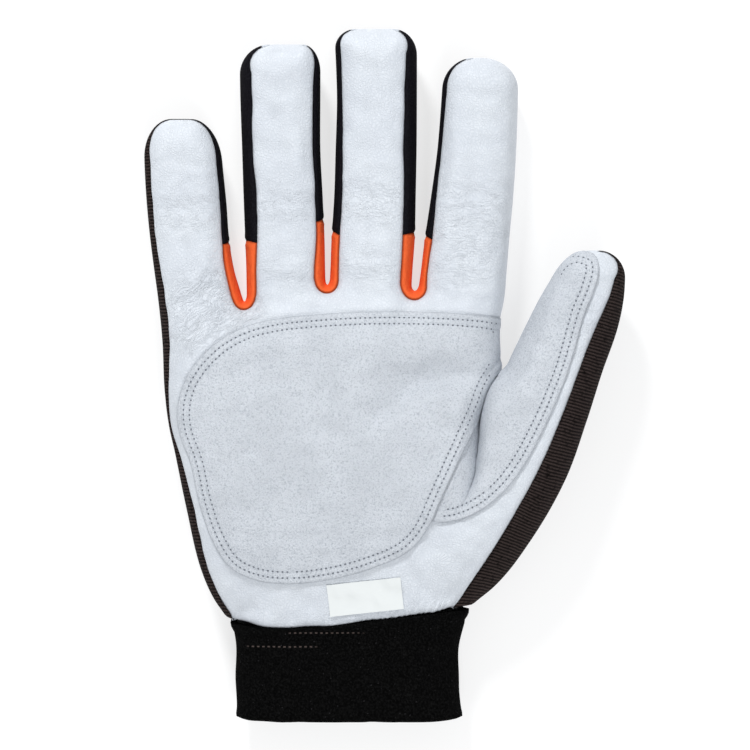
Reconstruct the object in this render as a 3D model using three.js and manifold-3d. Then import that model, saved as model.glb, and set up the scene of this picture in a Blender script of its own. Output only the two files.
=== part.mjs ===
// A padded mechanic's glove for the right hand, size 9, in millimetres.
// It lies on its back with the palm up. +Y runs from the cuff to the fingertips, +X towards the thumb, +Z up.
// Every panel is a thick sheet cut from one outer skin. The skin is a height above and below the outline,
// worked out from the distance to that outline, so neighbouring panels meet along shared seams.
import * as THREE from "three";
import Module from "manifold-3d";

const wasm = await Module();
wasm.setup();
const { Manifold, Mesh: SolidMesh, CrossSection } = wasm;

// Thicknesses, with the padded lining counted in each wall
const LEATHER_WALL = 2.6;
const FABRIC_WALL = 2.6;
const STRIP_WALL = 2.4;
const CUFF_WALL = 2.8;
const SUEDE_THICKNESS = 1.3;
const LABEL_THICKNESS = 0.4;
// Gaps that keep the pieces apart
const SEAM_GAP = 0.32;
const PATCH_GAP = 0.55;
const CUFF_GAP = 0.4;
const SHARPEST = 0.4; // keeps a drawn back corner from running away

// How many faces each part of the skin gets
const DIGIT_COLUMNS = 5;
const PALM_STEPS = [7, 2, 3];
const DIGIT_STEPS = [2, 2, 3, 3];
const CUFF_COLUMNS = 12;
const CUFF_ROWS = 4;
const OUTLINE_STEPS = 10;
// Across a side strip: the share of the seam's inset, from the front seam over the edge to the back seam
const STRIP_SHARES = [1, 0.5, 0.134, 0, 0.3, 1];
const STRIP_MIDDLE = 3;

// How round the skin turns at its edges: 2 is an ellipse, more is squarer
const ROUNDNESS = 2.2;
const BACK_SEAM = 3.2;
const TIP_SEAM = 1.1;

const mix = (a, b, t) => a + (b - a) * t;
const clamp01 = (v) => Math.min(1, Math.max(0, v));

function smoothstep(from, to, v) {
  const t = clamp01((v - from) / (to - from));
  return t * t * (3 - 2 * t);
}

// A smooth curve through the given values, straight beyond its ends
function smoothThrough(at, values) {
  const last = at.length - 1;
  const steep = (i) => (values[i + 1] - values[i]) / (at[i + 1] - at[i]);
  const slope = at.map((_, i) => {
    if (i === 0) return steep(0);
    if (i === last) return steep(last - 1);
    return (steep(i - 1) + steep(i)) / 2;
  });
  return (v) => {
    if (v <= at[0]) return values[0] + slope[0] * (v - at[0]);
    if (v >= at[last]) return values[last] + slope[last] * (v - at[last]);
    let i = 0;
    while (v > at[i + 1]) i += 1;
    const width = at[i + 1] - at[i];
    const t = (v - at[i]) / width;
    const rise = t * t * (3 - 2 * t);
    const out = t * (1 - t) * (1 - t) * slope[i] - t * t * (1 - t) * slope[i + 1];
    return mix(values[i], values[i + 1], rise) + out * width;
  };
}

// A table with named columns, read as one smooth function of the first column for each of the others
function table(columns, rows) {
  const at = rows.map((row) => row[0]);
  const read = {};
  columns.split(" ").forEach((name, k) => {
    if (k > 0) read[name] = smoothThrough(at, rows.map((row) => row[k]));
  });
  return read;
}

// Where the outline forks: the crotch of two fingers, or the notch between index finger and thumb.
// rise is the height of the rounded end, seam how far the sewn edge lies below it.
const FORKS = {
  littleRing: { x: -50.5, y: 26.5, rise: 3.0, seam: 2.7, lean: 0 },
  ringMiddle: { x: -20.4, y: 32.6, rise: 2.4, seam: 3.0, lean: 0 },
  middleIndex: { x: 11.4, y: 30.4, rise: 2.4, seam: 3.2, lean: 0 },
  thumb: { x: 42.6, y: 0.9, rise: 3.0, seam: 2.4, lean: -0.26 },
};

// Each digit: its tip, the radii of its two rounded corners, and its sections up the hand.
// left and right are the edges of the outline; seamLeft and seamRight how far the palm leather stops inside them.
const SECTION = "y left right seamLeft seamRight";
const DIGITS = {
  little: {
    tip: 92.6,
    corner: { left: [10, 14], right: [10, 15] },
    gussetTop: { left: 47.3, right: 47.3 },
    sections: table(SECTION, [
      [-88.6, -56.2, 0, 2.2, 2],
      [-81.7, -61.2, 0, 2.3, 2],
      [-70.8, -66.0, 0, 2.4, 2],
      [-49, -71.2, 0, 2.7, 2],
      [-30, -75.1, 0, 1.6, 2],
      [-18, -77.6, 0, 0.35, 2],
      [-6, -79.2, 0, 1.3, 2],
      [12, -80.1, -50.0, 2.5, 3],
      [27, -81.7, -51.2, 2.6, 3.1],
      [37.9, -83.2, -54.2, 2.2, 2.5],
      [48.7, -84.6, -56.0, 1.9, 1.8],
      [62, -85.9, -57.0, 2.0, 1.5],
      [76, -86.7, -58.4, 2.0, 1.4],
      [92.6, -86.9, -59.8, 1.7, 1.6],
    ]),
  },
  ring: {
    tip: 119.4,
    corner: { left: [11, 11], right: [6.5, 10] },
    gussetTop: { left: 47.3, right: 55.2 },
    sections: table(SECTION, [
      [27, -49.6, -20.9, 3.3, 3.9],
      [37.9, -49.8, -21.2, 3.5, 3.4],
      [48.7, -50.2, -21.4, 4.2, 2.5],
      [65, -50.8, -22.1, 4.5, 2.1],
      [81.3, -51.3, -22.9, 3.6, 2.1],
      [100, -51.9, -22.9, 4.1, 2.1],
      [119.4, -52.2, -22.8, 3.9, 1.3],
    ]),
  },
  middle: {
    tip: 125,
    corner: { left: [8, 7.2], right: [8.7, 9.4] },
    gussetTop: { left: 50.5, right: 50.2 },
    sections: table(SECTION, [
      [27, -19.9, 9.9, 3.2, 3.8],
      [37.9, -19.3, 10.5, 2.6, 3.8],
      [48.7, -18.9, 11.3, 2.6, 4.1],
      [65, -17.9, 11.7, 2.4, 3.9],
      [81.3, -17.4, 12.0, 2.1, 4.4],
      [100, -16.9, 12.1, 1.5, 4.1],
      [125, -17.8, 12.1, 1.6, 3.3],
    ]),
  },
  index: {
    tip: 114.6,
    corner: { left: [10.6, 10.8], right: [13.4, 11.6] },
    gussetTop: { left: 49.1, right: 49.1 },
    sections: table(SECTION, [
      [-4, 11, 41.6, 2.5, 2.4],
      [4, 11.2, 41.2, 2.5, 2.4],
      [16, 11.5, 41.1, 2.5, 2.4],
      [21, 11.8, 42.4, 2.5, 2.4],
      [27, 12.2, 43.7, 2.5, 2.4],
      [37.9, 13.6, 44.7, 1.9, 2.4],
      [48.7, 14.9, 45.6, 2.1, 2.4],
      [65, 17.3, 47.1, 1.3, 2.4],
      [81.3, 19.5, 48.1, 0.9, 2.4],
      [100, 21.0, 48.7, 1.1, 2.4],
      [114.6, 21.9, 48.9, 1.5, 2.4],
    ]),
  },
  thumb: {
    tip: 44.6,
    corner: { left: [8, 9.6], right: [10, 10.4] },
    gussetTop: { left: 15, right: 10 },
    sections: table(SECTION, [
      [-84.2, 20, 30.9, 2.4, 6.0],
      [-76.3, 22, 40.6, 2.4, 8.6],
      [-60, 25, 53.2, 2.4, 10.6],
      [-38.2, 30, 65.5, 2.4, 11.0],
      [-16.5, 36, 73.3, 2.4, 9.6],
      [0.9, 44.2, 78.8, 2.4, 8.6],
      [16.1, 51.6, 84.1, 2.4, 7.9],
      [27, 57.2, 86.4, 2.4, 5.6],
      [36, 62.3, 87.0, 2.4, 3.6],
      [44.6, 66.4, 87.3, 2.4, 1.2],
    ]),
  },
};
// Where the palm's rows on an outer edge begin and end
const LITTLE_EDGE_FROM = -88.6;
const THUMB_EDGE_FROM = -84.0;
const CROTCH_ROW = 26.8;
const THUMB_ROW = -9;

// The share of the palm's height, from cuff to crotches, where the thumb's notch begins and where it is clear
const NOTCH_FROM = 0.745;
const NOTCH_TO = 0.785;

const CUFF_BOTTOM = -125;
const CUFF_SIDES = table("y left right", [
  [-125, -53.5, 28.7],
  [-119, -53.6, 28.3],
  [-112, -53.6, 27.5],
  [-100, -53.6, 27.6],
  [-94, -54.1, 28.6],
  [-84, -56.4, 31.0],
]);
const CUFF_CORNER = 1.6;
const CUFF_STRIP = 3.0;
// The wavy seam where the hand is sewn to the cuff, and its plain line on the back
const SEAM_LINE = table("x front back", [
  [-57, -88.7, -88.7],
  [-50, -90.2, -88.6],
  [-40, -91.2, -88.2],
  [-24, -90.9, -87.4],
  [-7, -89.0, -86.6],
  [8, -87.0, -85.8],
  [22, -85.2, -85.0],
  [31, -84.5, -84.5],
]);

// The fold between palm and thumb: where it runs and what share of the height it takes away
const CREASE = table("y x share", [
  [-88, 15.5, 0],
  [-66, 19.0, 0],
  [-52, 26.0, 0.04],
  [-38, 32.0, 0.28],
  [-25, 34.4, 0.48],
  [-12, 35.9, 0.54],
  [-5, 38.4, 0.5],
  [0, 41.8, 0.4],
  [6, 44.2, 0],
  [45, 53.5, 0],
]);
// The fold slopes gently on the palm's side, and the ball of the thumb bulges steeply over it
const CREASE_WIDTH = { palm: 11, thumb: 6.5 };

// The form of the hand and of the thumb, up the glove. middle is the height of the outline's edge, rise how far
// the palm side stands above it, reach how far in from the edge the surface has levelled out.
const HAND_FORM = table("y middle rise reach", [
  [-125, 13, 12, 20],
  [-92, 13, 12, 20],
  [-60, 15, 16.5, 25],
  [-20, 15.5, 18, 27],
  [8, 14.2, 16.5, 22],
  [28, 12, 13, 14],
  [60, 11.4, 11.8, 12.6],
  [100, 13, 11.6, 12.6],
  [126, 15.5, 11, 12.6],
]);
const THUMB_FORM = table("y middle rise reach", [
  [-92, 13, 12, 20],
  [-60, 16.5, 17, 20],
  [-30, 19.5, 17, 17],
  [0, 21, 15, 14.5],
  [45, 23, 11.5, 12.4],
]);
const HAND_SINK = 1.2; // the back would go this far below the floor, and is flattened there instead
const THUMB_BELOW = 13.5;

// Hollows of the palm side: centre, half lengths along and across their own line, the line's turn and the depth
const HOLLOWS = [
  { x: 6, y: -12, along: 27, across: 20, turn: 0.2, depth: 2.2 },
  { x: 20, y: 2, along: 20, across: 5.5, turn: 0.19, depth: 2.0 },
  { x: -30, y: 30, along: 50, across: 6, turn: 0.04, depth: 0.8 },
];

// The quarter turn of the skin from an edge (0) to its level part (1)
function turn(share) {
  const v = clamp01(share);
  return Math.pow(1 - Math.pow(1 - v, ROUNDNESS), 1 / ROUNDNESS);
}

// An edge of a digit, as a curve from its fork or start (0) to its tip (4).
// 0 to 1 is the rounded fork, 1 to 2 the gusset, 2 to 3 the straight side, 3 to 4 the rounded corner.
function digitEdge(name, side, options) {
  const digit = DIGITS[name];
  const [across, up] = digit.corner[side];
  const edge = {
    x: digit.sections[side],
    seam: digit.sections[side === "left" ? "seamLeft" : "seamRight"],
    inward: side === "left" ? 1 : -1,
    tip: digit.tip,
    across,
    up,
    fork: options.fork || null,
    forkAt: options.forkAt || 0,
    lowest: options.lowest || 0,
  };
  const start = edge.fork && edge.forkAt === 0 ? edge.fork.y : options.start;
  const rounded = edge.fork && edge.forkAt === 0 ? edge.fork.rise : 3;
  edge.levels = [start, start + rounded, digit.gussetTop[side], digit.tip - up];
  edge.below = options.below === undefined ? start : options.below;
  return edge;
}

function edgeHeight(edge, s) {
  if (s < 0) return mix(edge.levels[0], edge.below, -s);
  const i = Math.min(2, Math.floor(s));
  return mix(edge.levels[i], edge.levels[i + 1], s - i);
}

function outlineAt(edge, s) {
  const arc = s - edge.forkAt;
  if (edge.fork && arc < 1) {
    const angle = (arc * Math.PI) / 2;
    const y = edge.fork.y + edge.fork.rise * (1 - Math.cos(angle));
    return new THREE.Vector2(mix(edge.fork.x, edge.x(y), Math.sin(angle)), y);
  }
  if (s > 3) {
    const angle = ((s - 3) * Math.PI) / 2;
    const y = edge.tip - edge.up * (1 - Math.sin(angle));
    return new THREE.Vector2(edge.x(y) + edge.inward * edge.across * (1 - Math.cos(angle)), y);
  }
  const y = edgeHeight(edge, s);
  return new THREE.Vector2(edge.x(y), y);
}

const CORNER_END = 4;
const SIDEWAYS_UNTIL = 0.2; // an outer edge's insets turn level over this first share, to end along the cuff's seam

function inwardAt(edge, s) {
  if (edge.fork && s === edge.forkAt) {
    return new THREE.Vector2(Math.sin(edge.fork.lean), -Math.cos(edge.fork.lean));
  }
  if (s === CORNER_END) return new THREE.Vector2(0, -1);
  const step = 0.02;
  const before = outlineAt(edge, Math.max(s - step, edge.lowest));
  const after = outlineAt(edge, Math.min(s + step, CORNER_END));
  const along = after.sub(before).normalize();
  const normal = new THREE.Vector2(along.y, -along.x).multiplyScalar(edge.inward);
  const level = edge.lowest === -1 ? 1 - clamp01((s + 1) / SIDEWAYS_UNTIL) : 0;
  return normal.lerp(new THREE.Vector2(edge.inward, 0), level).normalize();
}

function frontInset(edge, s) {
  const inset = edge.seam(outlineAt(edge, s).y);
  const arc = s - edge.forkAt;
  if (edge.fork && arc < 1) return mix(edge.fork.seam, inset, arc);
  if (s > 3) return mix(inset, TIP_SEAM, smoothstep(3, CORNER_END, s));
  return inset;
}

function backInset(edge, s) {
  return s > 3 ? mix(BACK_SEAM, TIP_SEAM, smoothstep(3, CORNER_END, s)) : BACK_SEAM;
}

// A point of the plan that knows its own distance to the outline
function insetPoint(edge, s, share, side) {
  const inset = share * (side > 0 ? frontInset(edge, s) : backInset(edge, s));
  const at = outlineAt(edge, s).addScaledVector(inwardAt(edge, s), inset);
  return { x: at.x, y: at.y, inset };
}

const EDGES = {
  littleLeft: digitEdge("little", "left", { start: CROTCH_ROW, below: LITTLE_EDGE_FROM, lowest: -1 }),
  littleRight: digitEdge("little", "right", { fork: FORKS.littleRing }),
  ringLeft: digitEdge("ring", "left", { fork: FORKS.littleRing }),
  ringRight: digitEdge("ring", "right", { fork: FORKS.ringMiddle }),
  middleLeft: digitEdge("middle", "left", { fork: FORKS.ringMiddle }),
  middleRight: digitEdge("middle", "right", { fork: FORKS.middleIndex }),
  indexLeft: digitEdge("index", "left", { fork: FORKS.middleIndex }),
  indexRight: digitEdge("index", "right", {
    fork: FORKS.thumb,
    forkAt: -2,
    start: CROTCH_ROW,
    below: FORKS.thumb.y + FORKS.thumb.rise,
    lowest: -2,
  }),
  thumbLeft: digitEdge("thumb", "left", { fork: FORKS.thumb }),
  thumbRight: digitEdge("thumb", "right", { start: THUMB_ROW, below: THUMB_EDGE_FROM, lowest: -1 }),
};

// The outline of the whole glove, as short straight pieces to measure distances to
function wholeOutline() {
  const points = [];
  const follow = (edge, from, to) => {
    const steps = Math.round(Math.abs(to - from) * OUTLINE_STEPS);
    for (let i = 0; i <= steps; i += 1) points.push(outlineAt(edge, mix(from, to, i / steps)));
  };
  const cuffSide = (side, from, to) => {
    for (let i = 0; i <= OUTLINE_STEPS; i += 1) {
      const y = mix(from, to, i / OUTLINE_STEPS);
      points.push(new THREE.Vector2(CUFF_SIDES[side](y), y));
    }
  };
  cuffSide("left", CUFF_BOTTOM - 30, LITTLE_EDGE_FROM - 0.5);
  follow(EDGES.littleLeft, -1, CORNER_END);
  follow(EDGES.littleRight, CORNER_END, 0);
  follow(EDGES.ringLeft, 0, CORNER_END);
  follow(EDGES.ringRight, CORNER_END, 0);
  follow(EDGES.middleLeft, 0, CORNER_END);
  follow(EDGES.middleRight, CORNER_END, 0);
  follow(EDGES.indexLeft, 0, CORNER_END);
  follow(EDGES.indexRight, CORNER_END, -2);
  follow(EDGES.thumbLeft, 0, CORNER_END);
  follow(EDGES.thumbRight, CORNER_END, -1);
  cuffSide("right", THUMB_EDGE_FROM - 0.5, CUFF_BOTTOM - 30);
  return points;
}
const OUTLINE = wholeOutline();

function distanceToOutline(x, y) {
  let best = Infinity;
  for (let i = 1; i < OUTLINE.length; i += 1) {
    const a = OUTLINE[i - 1];
    const alongX = OUTLINE[i].x - a.x;
    const alongY = OUTLINE[i].y - a.y;
    const length = alongX * alongX + alongY * alongY || 1;
    const t = clamp01(((x - a.x) * alongX + (y - a.y) * alongY) / length);
    best = Math.min(best, Math.hypot(x - a.x - t * alongX, y - a.y - t * alongY));
  }
  return best;
}

// The skin over a point of the plan: side 1 is the palm side, -1 the back
function skin(point, side) {
  const { x, y } = point;
  const inset = point.inset === undefined ? distanceToOutline(x, y) : point.inset;
  const fromCrease = x - CREASE.x(y);
  const thumb = smoothstep(-6, 13, fromCrease) * smoothstep(-90, -50, y);
  const middle = mix(HAND_FORM.middle(y), THUMB_FORM.middle(y), thumb);
  const level = turn(inset / mix(HAND_FORM.reach(y), THUMB_FORM.reach(y), thumb));
  if (side < 0) {
    const below = mix(middle + HAND_SINK, THUMB_BELOW, thumb);
    return new THREE.Vector3(x, y, Math.max(0, middle - below * level));
  }
  const share = Math.max(0, CREASE.share(y));
  const width = fromCrease < 0 ? CREASE_WIDTH.palm : CREASE_WIDTH.thumb;
  const fold = 1 - share * (1 - turn(Math.abs(fromCrease) / width));
  let z = middle + mix(HAND_FORM.rise(y), THUMB_FORM.rise(y), thumb) * level * fold;
  for (const hollow of HOLLOWS) {
    const [dx, dy] = [x - hollow.x, y - hollow.y];
    const along = (dx * Math.cos(hollow.turn) + dy * Math.sin(hollow.turn)) / hollow.along;
    const across = (dy * Math.cos(hollow.turn) - dx * Math.sin(hollow.turn)) / hollow.across;
    z -= hollow.depth * level * Math.exp(-along * along - across * across);
  }
  return new THREE.Vector3(x, y, z);
}

// The skin's faces, each with the panel that it belongs to, and its corners shared between neighbours
const corners = [];
const cornerAt = new Map();
const panels = new Map();
const palmSide = []; // the faces that the patches lie on

function cornerIndex(v) {
  const key = [v.x, v.y, v.z].map((c) => Math.round(c * 500)).join(",");
  if (!cornerAt.has(key)) {
    cornerAt.set(key, corners.length);
    corners.push(v);
  }
  return cornerAt.get(key);
}

function addGrid(panel, rows, flipped) {
  if (!panels.has(panel)) panels.set(panel, []);
  const ids = rows.map((row) => row.map(cornerIndex));
  const added = [];
  for (let i = 1; i < ids.length; i += 1) {
    for (let j = 1; j < ids[i].length; j += 1) {
      const face = [ids[i - 1][j - 1], ids[i - 1][j], ids[i][j], ids[i][j - 1]];
      added.push(flipped ? face.reverse() : face);
    }
  }
  panels.get(panel).push(...added);
  return added;
}

// Row positions on an edge, from one whole number to the next, with the given number of steps in each
function stations(from, steps) {
  const list = [from];
  steps.forEach((count, zone) => {
    for (let i = 1; i <= count; i += 1) list.push(from + zone + i / count);
  });
  return list;
}

const DIGIT_ROWS = stations(0, DIGIT_STEPS);
const PALM_ROWS = [0];
[[0, NOTCH_FROM], [NOTCH_FROM, NOTCH_TO], [NOTCH_TO, 1]].forEach(([from, to], zone) => {
  for (let i = 1; i <= PALM_STEPS[zone]; i += 1) PALM_ROWS.push(mix(from, to, i / PALM_STEPS[zone]));
});
const LOW_ROWS = PALM_ROWS.slice(0, PALM_STEPS[0] + 1);
const HIGH_ROWS = PALM_ROWS.slice(PALM_STEPS[0]);

const onLittle = (r) => r - 1;
const onThumb = (r) => r / NOTCH_FROM - 1;
const onIndex = (r) => {
  if (r <= NOTCH_TO) return -2 + (r - NOTCH_FROM) / (NOTCH_TO - NOTCH_FROM);
  return -1 + (r - NOTCH_TO) / (1 - NOTCH_TO);
};

const seamY = (x, side) => SEAM_LINE[side > 0 ? "front" : "back"](x) + CUFF_GAP / 2;

// Points along one row between two ends, ends included
function between(a, b, count) {
  const list = [a];
  for (let i = 1; i < count; i += 1) {
    list.push({ x: mix(a.x, b.x, i / count), y: mix(a.y, b.y, i / count) });
  }
  return list.concat([b]);
}

// The lines that part the palm between its fingers, from the cuff's seam up to each fork
const CUFF_PARTS = [-40, -20, -1.5];
const THUMB_PART = 15.5;
const PALM_FORKS = ["ringLeft", "middleLeft", "indexLeft"];

function palmLine(k, r, side) {
  const end = insetPoint(EDGES[PALM_FORKS[k]], 0, 1, side);
  if (r === 1) return end;
  const from = CUFF_PARTS[k];
  return { x: mix(from, end.x, r), y: mix(seamY(from, side), end.y, r) };
}

function creaseLine(r, side) {
  const end = insetPoint(EDGES.thumbLeft, 0, 1, side);
  if (r === NOTCH_FROM) return end;
  const t = r / NOTCH_FROM;
  const y = mix(seamY(THUMB_PART, side), end.y, t);
  return { x: CREASE.x(y) + (end.x - CREASE.x(end.y)) * t, y };
}

function palmRow(r, side) {
  const right = r < NOTCH_FROM ? creaseLine(r, side) : insetPoint(EDGES.indexRight, onIndex(r), 1, side);
  const marks = [insetPoint(EDGES.littleLeft, onLittle(r), 1, side)];
  for (let k = 0; k < CUFF_PARTS.length; k += 1) marks.push(palmLine(k, r, side));
  marks.push(right);
  const row = [marks[0]];
  for (let k = 1; k < marks.length; k += 1) row.push(...between(marks[k - 1], marks[k], DIGIT_COLUMNS).slice(1));
  return row;
}

function addFaces(panel, rows, side) {
  const added = addGrid(panel, rows.map((row) => row.map((p) => skin(p, side))), side < 0);
  if (side > 0) palmSide.push(...added);
}

function addDigit(name, frontPanel) {
  const left = EDGES[name + "Left"];
  const right = EDGES[name + "Right"];
  for (const [panel, side] of [[frontPanel, 1], ["back_fabric", -1]]) {
    const row = (s) => between(insetPoint(left, s, 1, side), insetPoint(right, s, 1, side), DIGIT_COLUMNS);
    addFaces(panel, DIGIT_ROWS.map(row), side);
  }
}

// The strip that turns round an edge from the front seam to the back seam
function stripRow(edge, s) {
  return STRIP_SHARES.map((share, i) => {
    const side = i <= STRIP_MIDDLE ? 1 : -1;
    return skin(insetPoint(edge, s, share, side), side);
  });
}

function addStrip(panel, edge, rows) {
  return addGrid(panel, rows.map((s) => stripRow(edge, s)), edge.inward > 0);
}

// The end of a digit, from the front seam over the tip to the back seam
function addCap(panel, name) {
  const left = stripRow(EDGES[name + "Left"], CORNER_END);
  const right = stripRow(EDGES[name + "Right"], CORNER_END);
  const rows = left.map((from, i) => {
    const row = [from];
    for (let j = 1; j < DIGIT_COLUMNS; j += 1) row.push(from.clone().lerp(right[i], j / DIGIT_COLUMNS));
    return row.concat([right[i]]);
  });
  // The seam rows are the digit's own last rows, so they follow the skin
  const side = (s) =>
    between(
      insetPoint(EDGES[name + "Left"], CORNER_END, 1, s),
      insetPoint(EDGES[name + "Right"], CORNER_END, 1, s),
      DIGIT_COLUMNS,
    ).map((p) => skin(p, s));
  rows[0] = side(1);
  rows[rows.length - 1] = side(-1);
  addGrid(panel, rows, false);
}

function buildHand() {
  for (const [panel, side] of [["palm_leather", 1], ["back_fabric", -1]]) {
    addFaces(panel, PALM_ROWS.map((r) => palmRow(r, side)), side);
    const thumbRow = (r) =>
      between(creaseLine(r, side), insetPoint(EDGES.thumbRight, onThumb(r), 1, side), DIGIT_COLUMNS);
    addFaces(panel, LOW_ROWS.map(thumbRow), side);
  }
  for (const name of Object.keys(DIGITS)) addDigit(name, "palm_leather");
  // The outer sides: fabric from the cuff round the little finger and the thumb, leather in the thumb's notch
  addStrip("back_fabric", EDGES.littleLeft, LOW_ROWS.concat(HIGH_ROWS.slice(1)).map(onLittle));
  addStrip("back_fabric", EDGES.littleLeft, DIGIT_ROWS);
  addStrip("back_fabric", EDGES.thumbRight, LOW_ROWS.map(onThumb));
  addStrip("back_fabric", EDGES.thumbRight, DIGIT_ROWS);
  palmSide.push(...addStrip("palm_leather", EDGES.indexRight, HIGH_ROWS.map(onIndex)));
  addStrip("palm_leather", EDGES.indexRight, DIGIT_ROWS);
  palmSide.push(...addStrip("palm_leather", EDGES.thumbLeft, DIGIT_ROWS));
  // Between the fingers: an orange gusset round each crotch, and a black strip up each side
  const gussetRows = DIGIT_ROWS.filter((s) => s <= 2);
  const stripRows = DIGIT_ROWS.filter((s) => s >= 2);
  const GUSSETS = {
    gusset_little_ring: ["littleRight", "ringLeft"],
    gusset_ring_middle: ["ringRight", "middleLeft"],
    gusset_middle_index: ["middleRight", "indexLeft"],
  };
  for (const [gusset, sides] of Object.entries(GUSSETS)) {
    for (const side of sides) {
      addStrip(gusset, EDGES[side], gussetRows);
      const stripName = side.replace("Left", "_left").replace("Right", "_right");
      addStrip("fourchette_" + stripName, EDGES[side], stripRows);
    }
  }
  addCap("back_fabric", "little");
  for (const name of ["ring", "middle", "index", "thumb"]) addCap("palm_leather", name);
}

function cuffPoint(y, u, side, share) {
  const round = clamp01((CUFF_BOTTOM + CUFF_CORNER - y) / CUFF_CORNER);
  const tuck = CUFF_CORNER * (1 - Math.sqrt(1 - round * round));
  const left = CUFF_SIDES.left(y) + tuck;
  const right = CUFF_SIDES.right(y) - tuck;
  const inset = CUFF_STRIP * share;
  const point = { x: mix(left + inset, right - inset, u), y };
  if (u === 0 || u === 1) point.inset = inset;
  return point;
}

// The cuff's rows keep their shares of its height, so that its top follows the wavy seam
function cuffRing(row) {
  const place = (u, side, share) => {
    const flat = cuffPoint(CUFF_BOTTOM, u, side, share);
    const top = SEAM_LINE[side > 0 ? "front" : "back"](flat.x) - CUFF_GAP / 2;
    return skin(cuffPoint(mix(CUFF_BOTTOM, top, row / CUFF_ROWS), u, side, share), side);
  };
  const ring = [];
  for (let j = 0; j <= CUFF_COLUMNS; j += 1) ring.push(place(j / CUFF_COLUMNS, 1, 1));
  for (let k = 1; k < STRIP_SHARES.length; k += 1) {
    ring.push(place(1, k <= STRIP_MIDDLE ? 1 : -1, STRIP_SHARES[k]));
  }
  for (let j = CUFF_COLUMNS - 1; j >= 0; j -= 1) ring.push(place(j / CUFF_COLUMNS, -1, 1));
  for (let k = STRIP_SHARES.length - 2; k >= 0; k -= 1) {
    ring.push(place(0, k <= STRIP_MIDDLE ? 1 : -1, STRIP_SHARES[k]));
  }
  return ring;
}

function buildCuff() {
  const rings = [];
  for (let row = 0; row <= CUFF_ROWS; row += 1) rings.push(cuffRing(row));
  addGrid("cuff", rings, false);
}

// The outward direction of the skin at each corner, from all the faces that meet there
function cornerNormals() {
  const normals = corners.map(() => new THREE.Vector3());
  for (const faces of panels.values()) {
    for (const [a, b, c, d] of faces) {
      const across = corners[c].clone().sub(corners[a]);
      const down = corners[d].clone().sub(corners[b]);
      const normal = across.cross(down).normalize();
      for (const id of [a, b, c, d]) normals[id].add(normal);
    }
  }
  return normals.map((n) => n.normalize());
}

function boundaryOf(faces) {
  const seen = new Set();
  for (const face of faces) face.forEach((a, i) => seen.add(a + ">" + face[(i + 1) % face.length]));
  const edges = [];
  for (const face of faces) {
    face.forEach((a, i) => {
      const b = face[(i + 1) % face.length];
      if (!seen.has(b + ">" + a)) edges.push([a, b]);
    });
  }
  return edges;
}

// Makes a closed sheet from some of the skin's faces, the given thickness inwards, drawn back at its seams.
// lift puts its outer face that far above the skin.
function thickSheet(faces, normals, thickness, lift = 0) {
  const edges = boundaryOf(faces);
  const inwards = new Map();
  for (const [a, b] of edges) {
    const along = corners[b].clone().sub(corners[a]);
    for (const id of [a, b]) {
      if (!inwards.has(id)) inwards.set(id, []);
      inwards.get(id).push(normals[id].clone().cross(along).normalize());
    }
  }
  const outer = new Map();
  const positions = [];
  for (const id of new Set(faces.flat())) {
    const place = corners[id].clone();
    if (inwards.has(id)) {
      const [m, n] = inwards.get(id);
      const spread = Math.max(SHARPEST, 1 + m.dot(n));
      place.addScaledVector(m.add(n), SEAM_GAP / 2 / spread);
    }
    place.addScaledVector(normals[id], lift);
    outer.set(id, positions.length / 3);
    positions.push(place.x, place.y, place.z);
    place.addScaledVector(normals[id], -thickness);
    positions.push(place.x, place.y, place.z);
  }
  const triangles = [];
  for (const face of faces) {
    const [a, b, c, d] = face.map((id) => outer.get(id));
    triangles.push(a, b, c, a, c, d);
    triangles.push(a + 1, c + 1, b + 1, a + 1, d + 1, c + 1);
  }
  for (const [from, to] of edges) {
    const a = outer.get(from);
    const b = outer.get(to);
    // Both sheets of a seam split its wall along the same diagonal
    if (from < to) triangles.push(a, a + 1, b + 1, a, b + 1, b);
    else triangles.push(a, a + 1, b, a + 1, b + 1, b);
  }
  const geometry = new THREE.BufferGeometry();
  geometry.setAttribute("position", new THREE.Float32BufferAttribute(positions, 3));
  geometry.setIndex(triangles);
  return geometry;
}

// Both suede patches and the size sticker are cut from the palm side's own skin, lifted clear of it.
// Their outlines are smooth closed curves through these plan points.
const PALM_PATCH = [
  [-34.5, -75.0], [-46, -73.6], [-55, -69], [-61.5, -59], [-66, -46], [-69, -32], [-73.2, -20],
  [-73.6, -11], [-70.5, -1], [-62, 9.5], [-52, 16], [-40, 19.6], [-24, 21.4], [-5, 22.4], [16, 22.3],
  [32, 21.4], [39, 20.6], [43.4, 19.6], [43.4, 12], [43.4, 5], [40.9, 0.4], [37.7, -5], [34.6, -13],
  [29.9, -23.4], [25.7, -32.8], [20.2, -45], [15.2, -56], [8.5, -63.5], [-6, -70], [-20, -73.6],
];
const THUMB_PATCH = [
  [20.6, -52.5], [19.4, -49], [22.8, -42], [27.2, -32.8], [31.3, -23.4], [36.2, -13], [39.4, -5],
  [42.8, 1.0], [44, 5], [47.5, 14], [53, 25], [58, 35], [62, 41.5], [67.5, 44.5], [72.5, 43.9],
  [76, 41.6], [76.8, 37], [75.0, 30], [71.4, 21], [68.6, 11], [65.6, 1], [60.4, -12], [55.4, -22.5],
  [50.2, -32], [43.5, -41], [35, -48.2], [26, -52.2],
];
// A patch that wraps over a side ends at this height
const PALM_PATCH_FROM = 11.5;
const THUMB_PATCH_FROM = 17;
const OUTLINE_POINTS = 2;

// The size sticker, a plain slip turned a little on the leather above the cuff
const LABEL = { x: -6.6, y: -79.8, width: 26.6, height: 11.6, turned: 6.3 };

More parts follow.
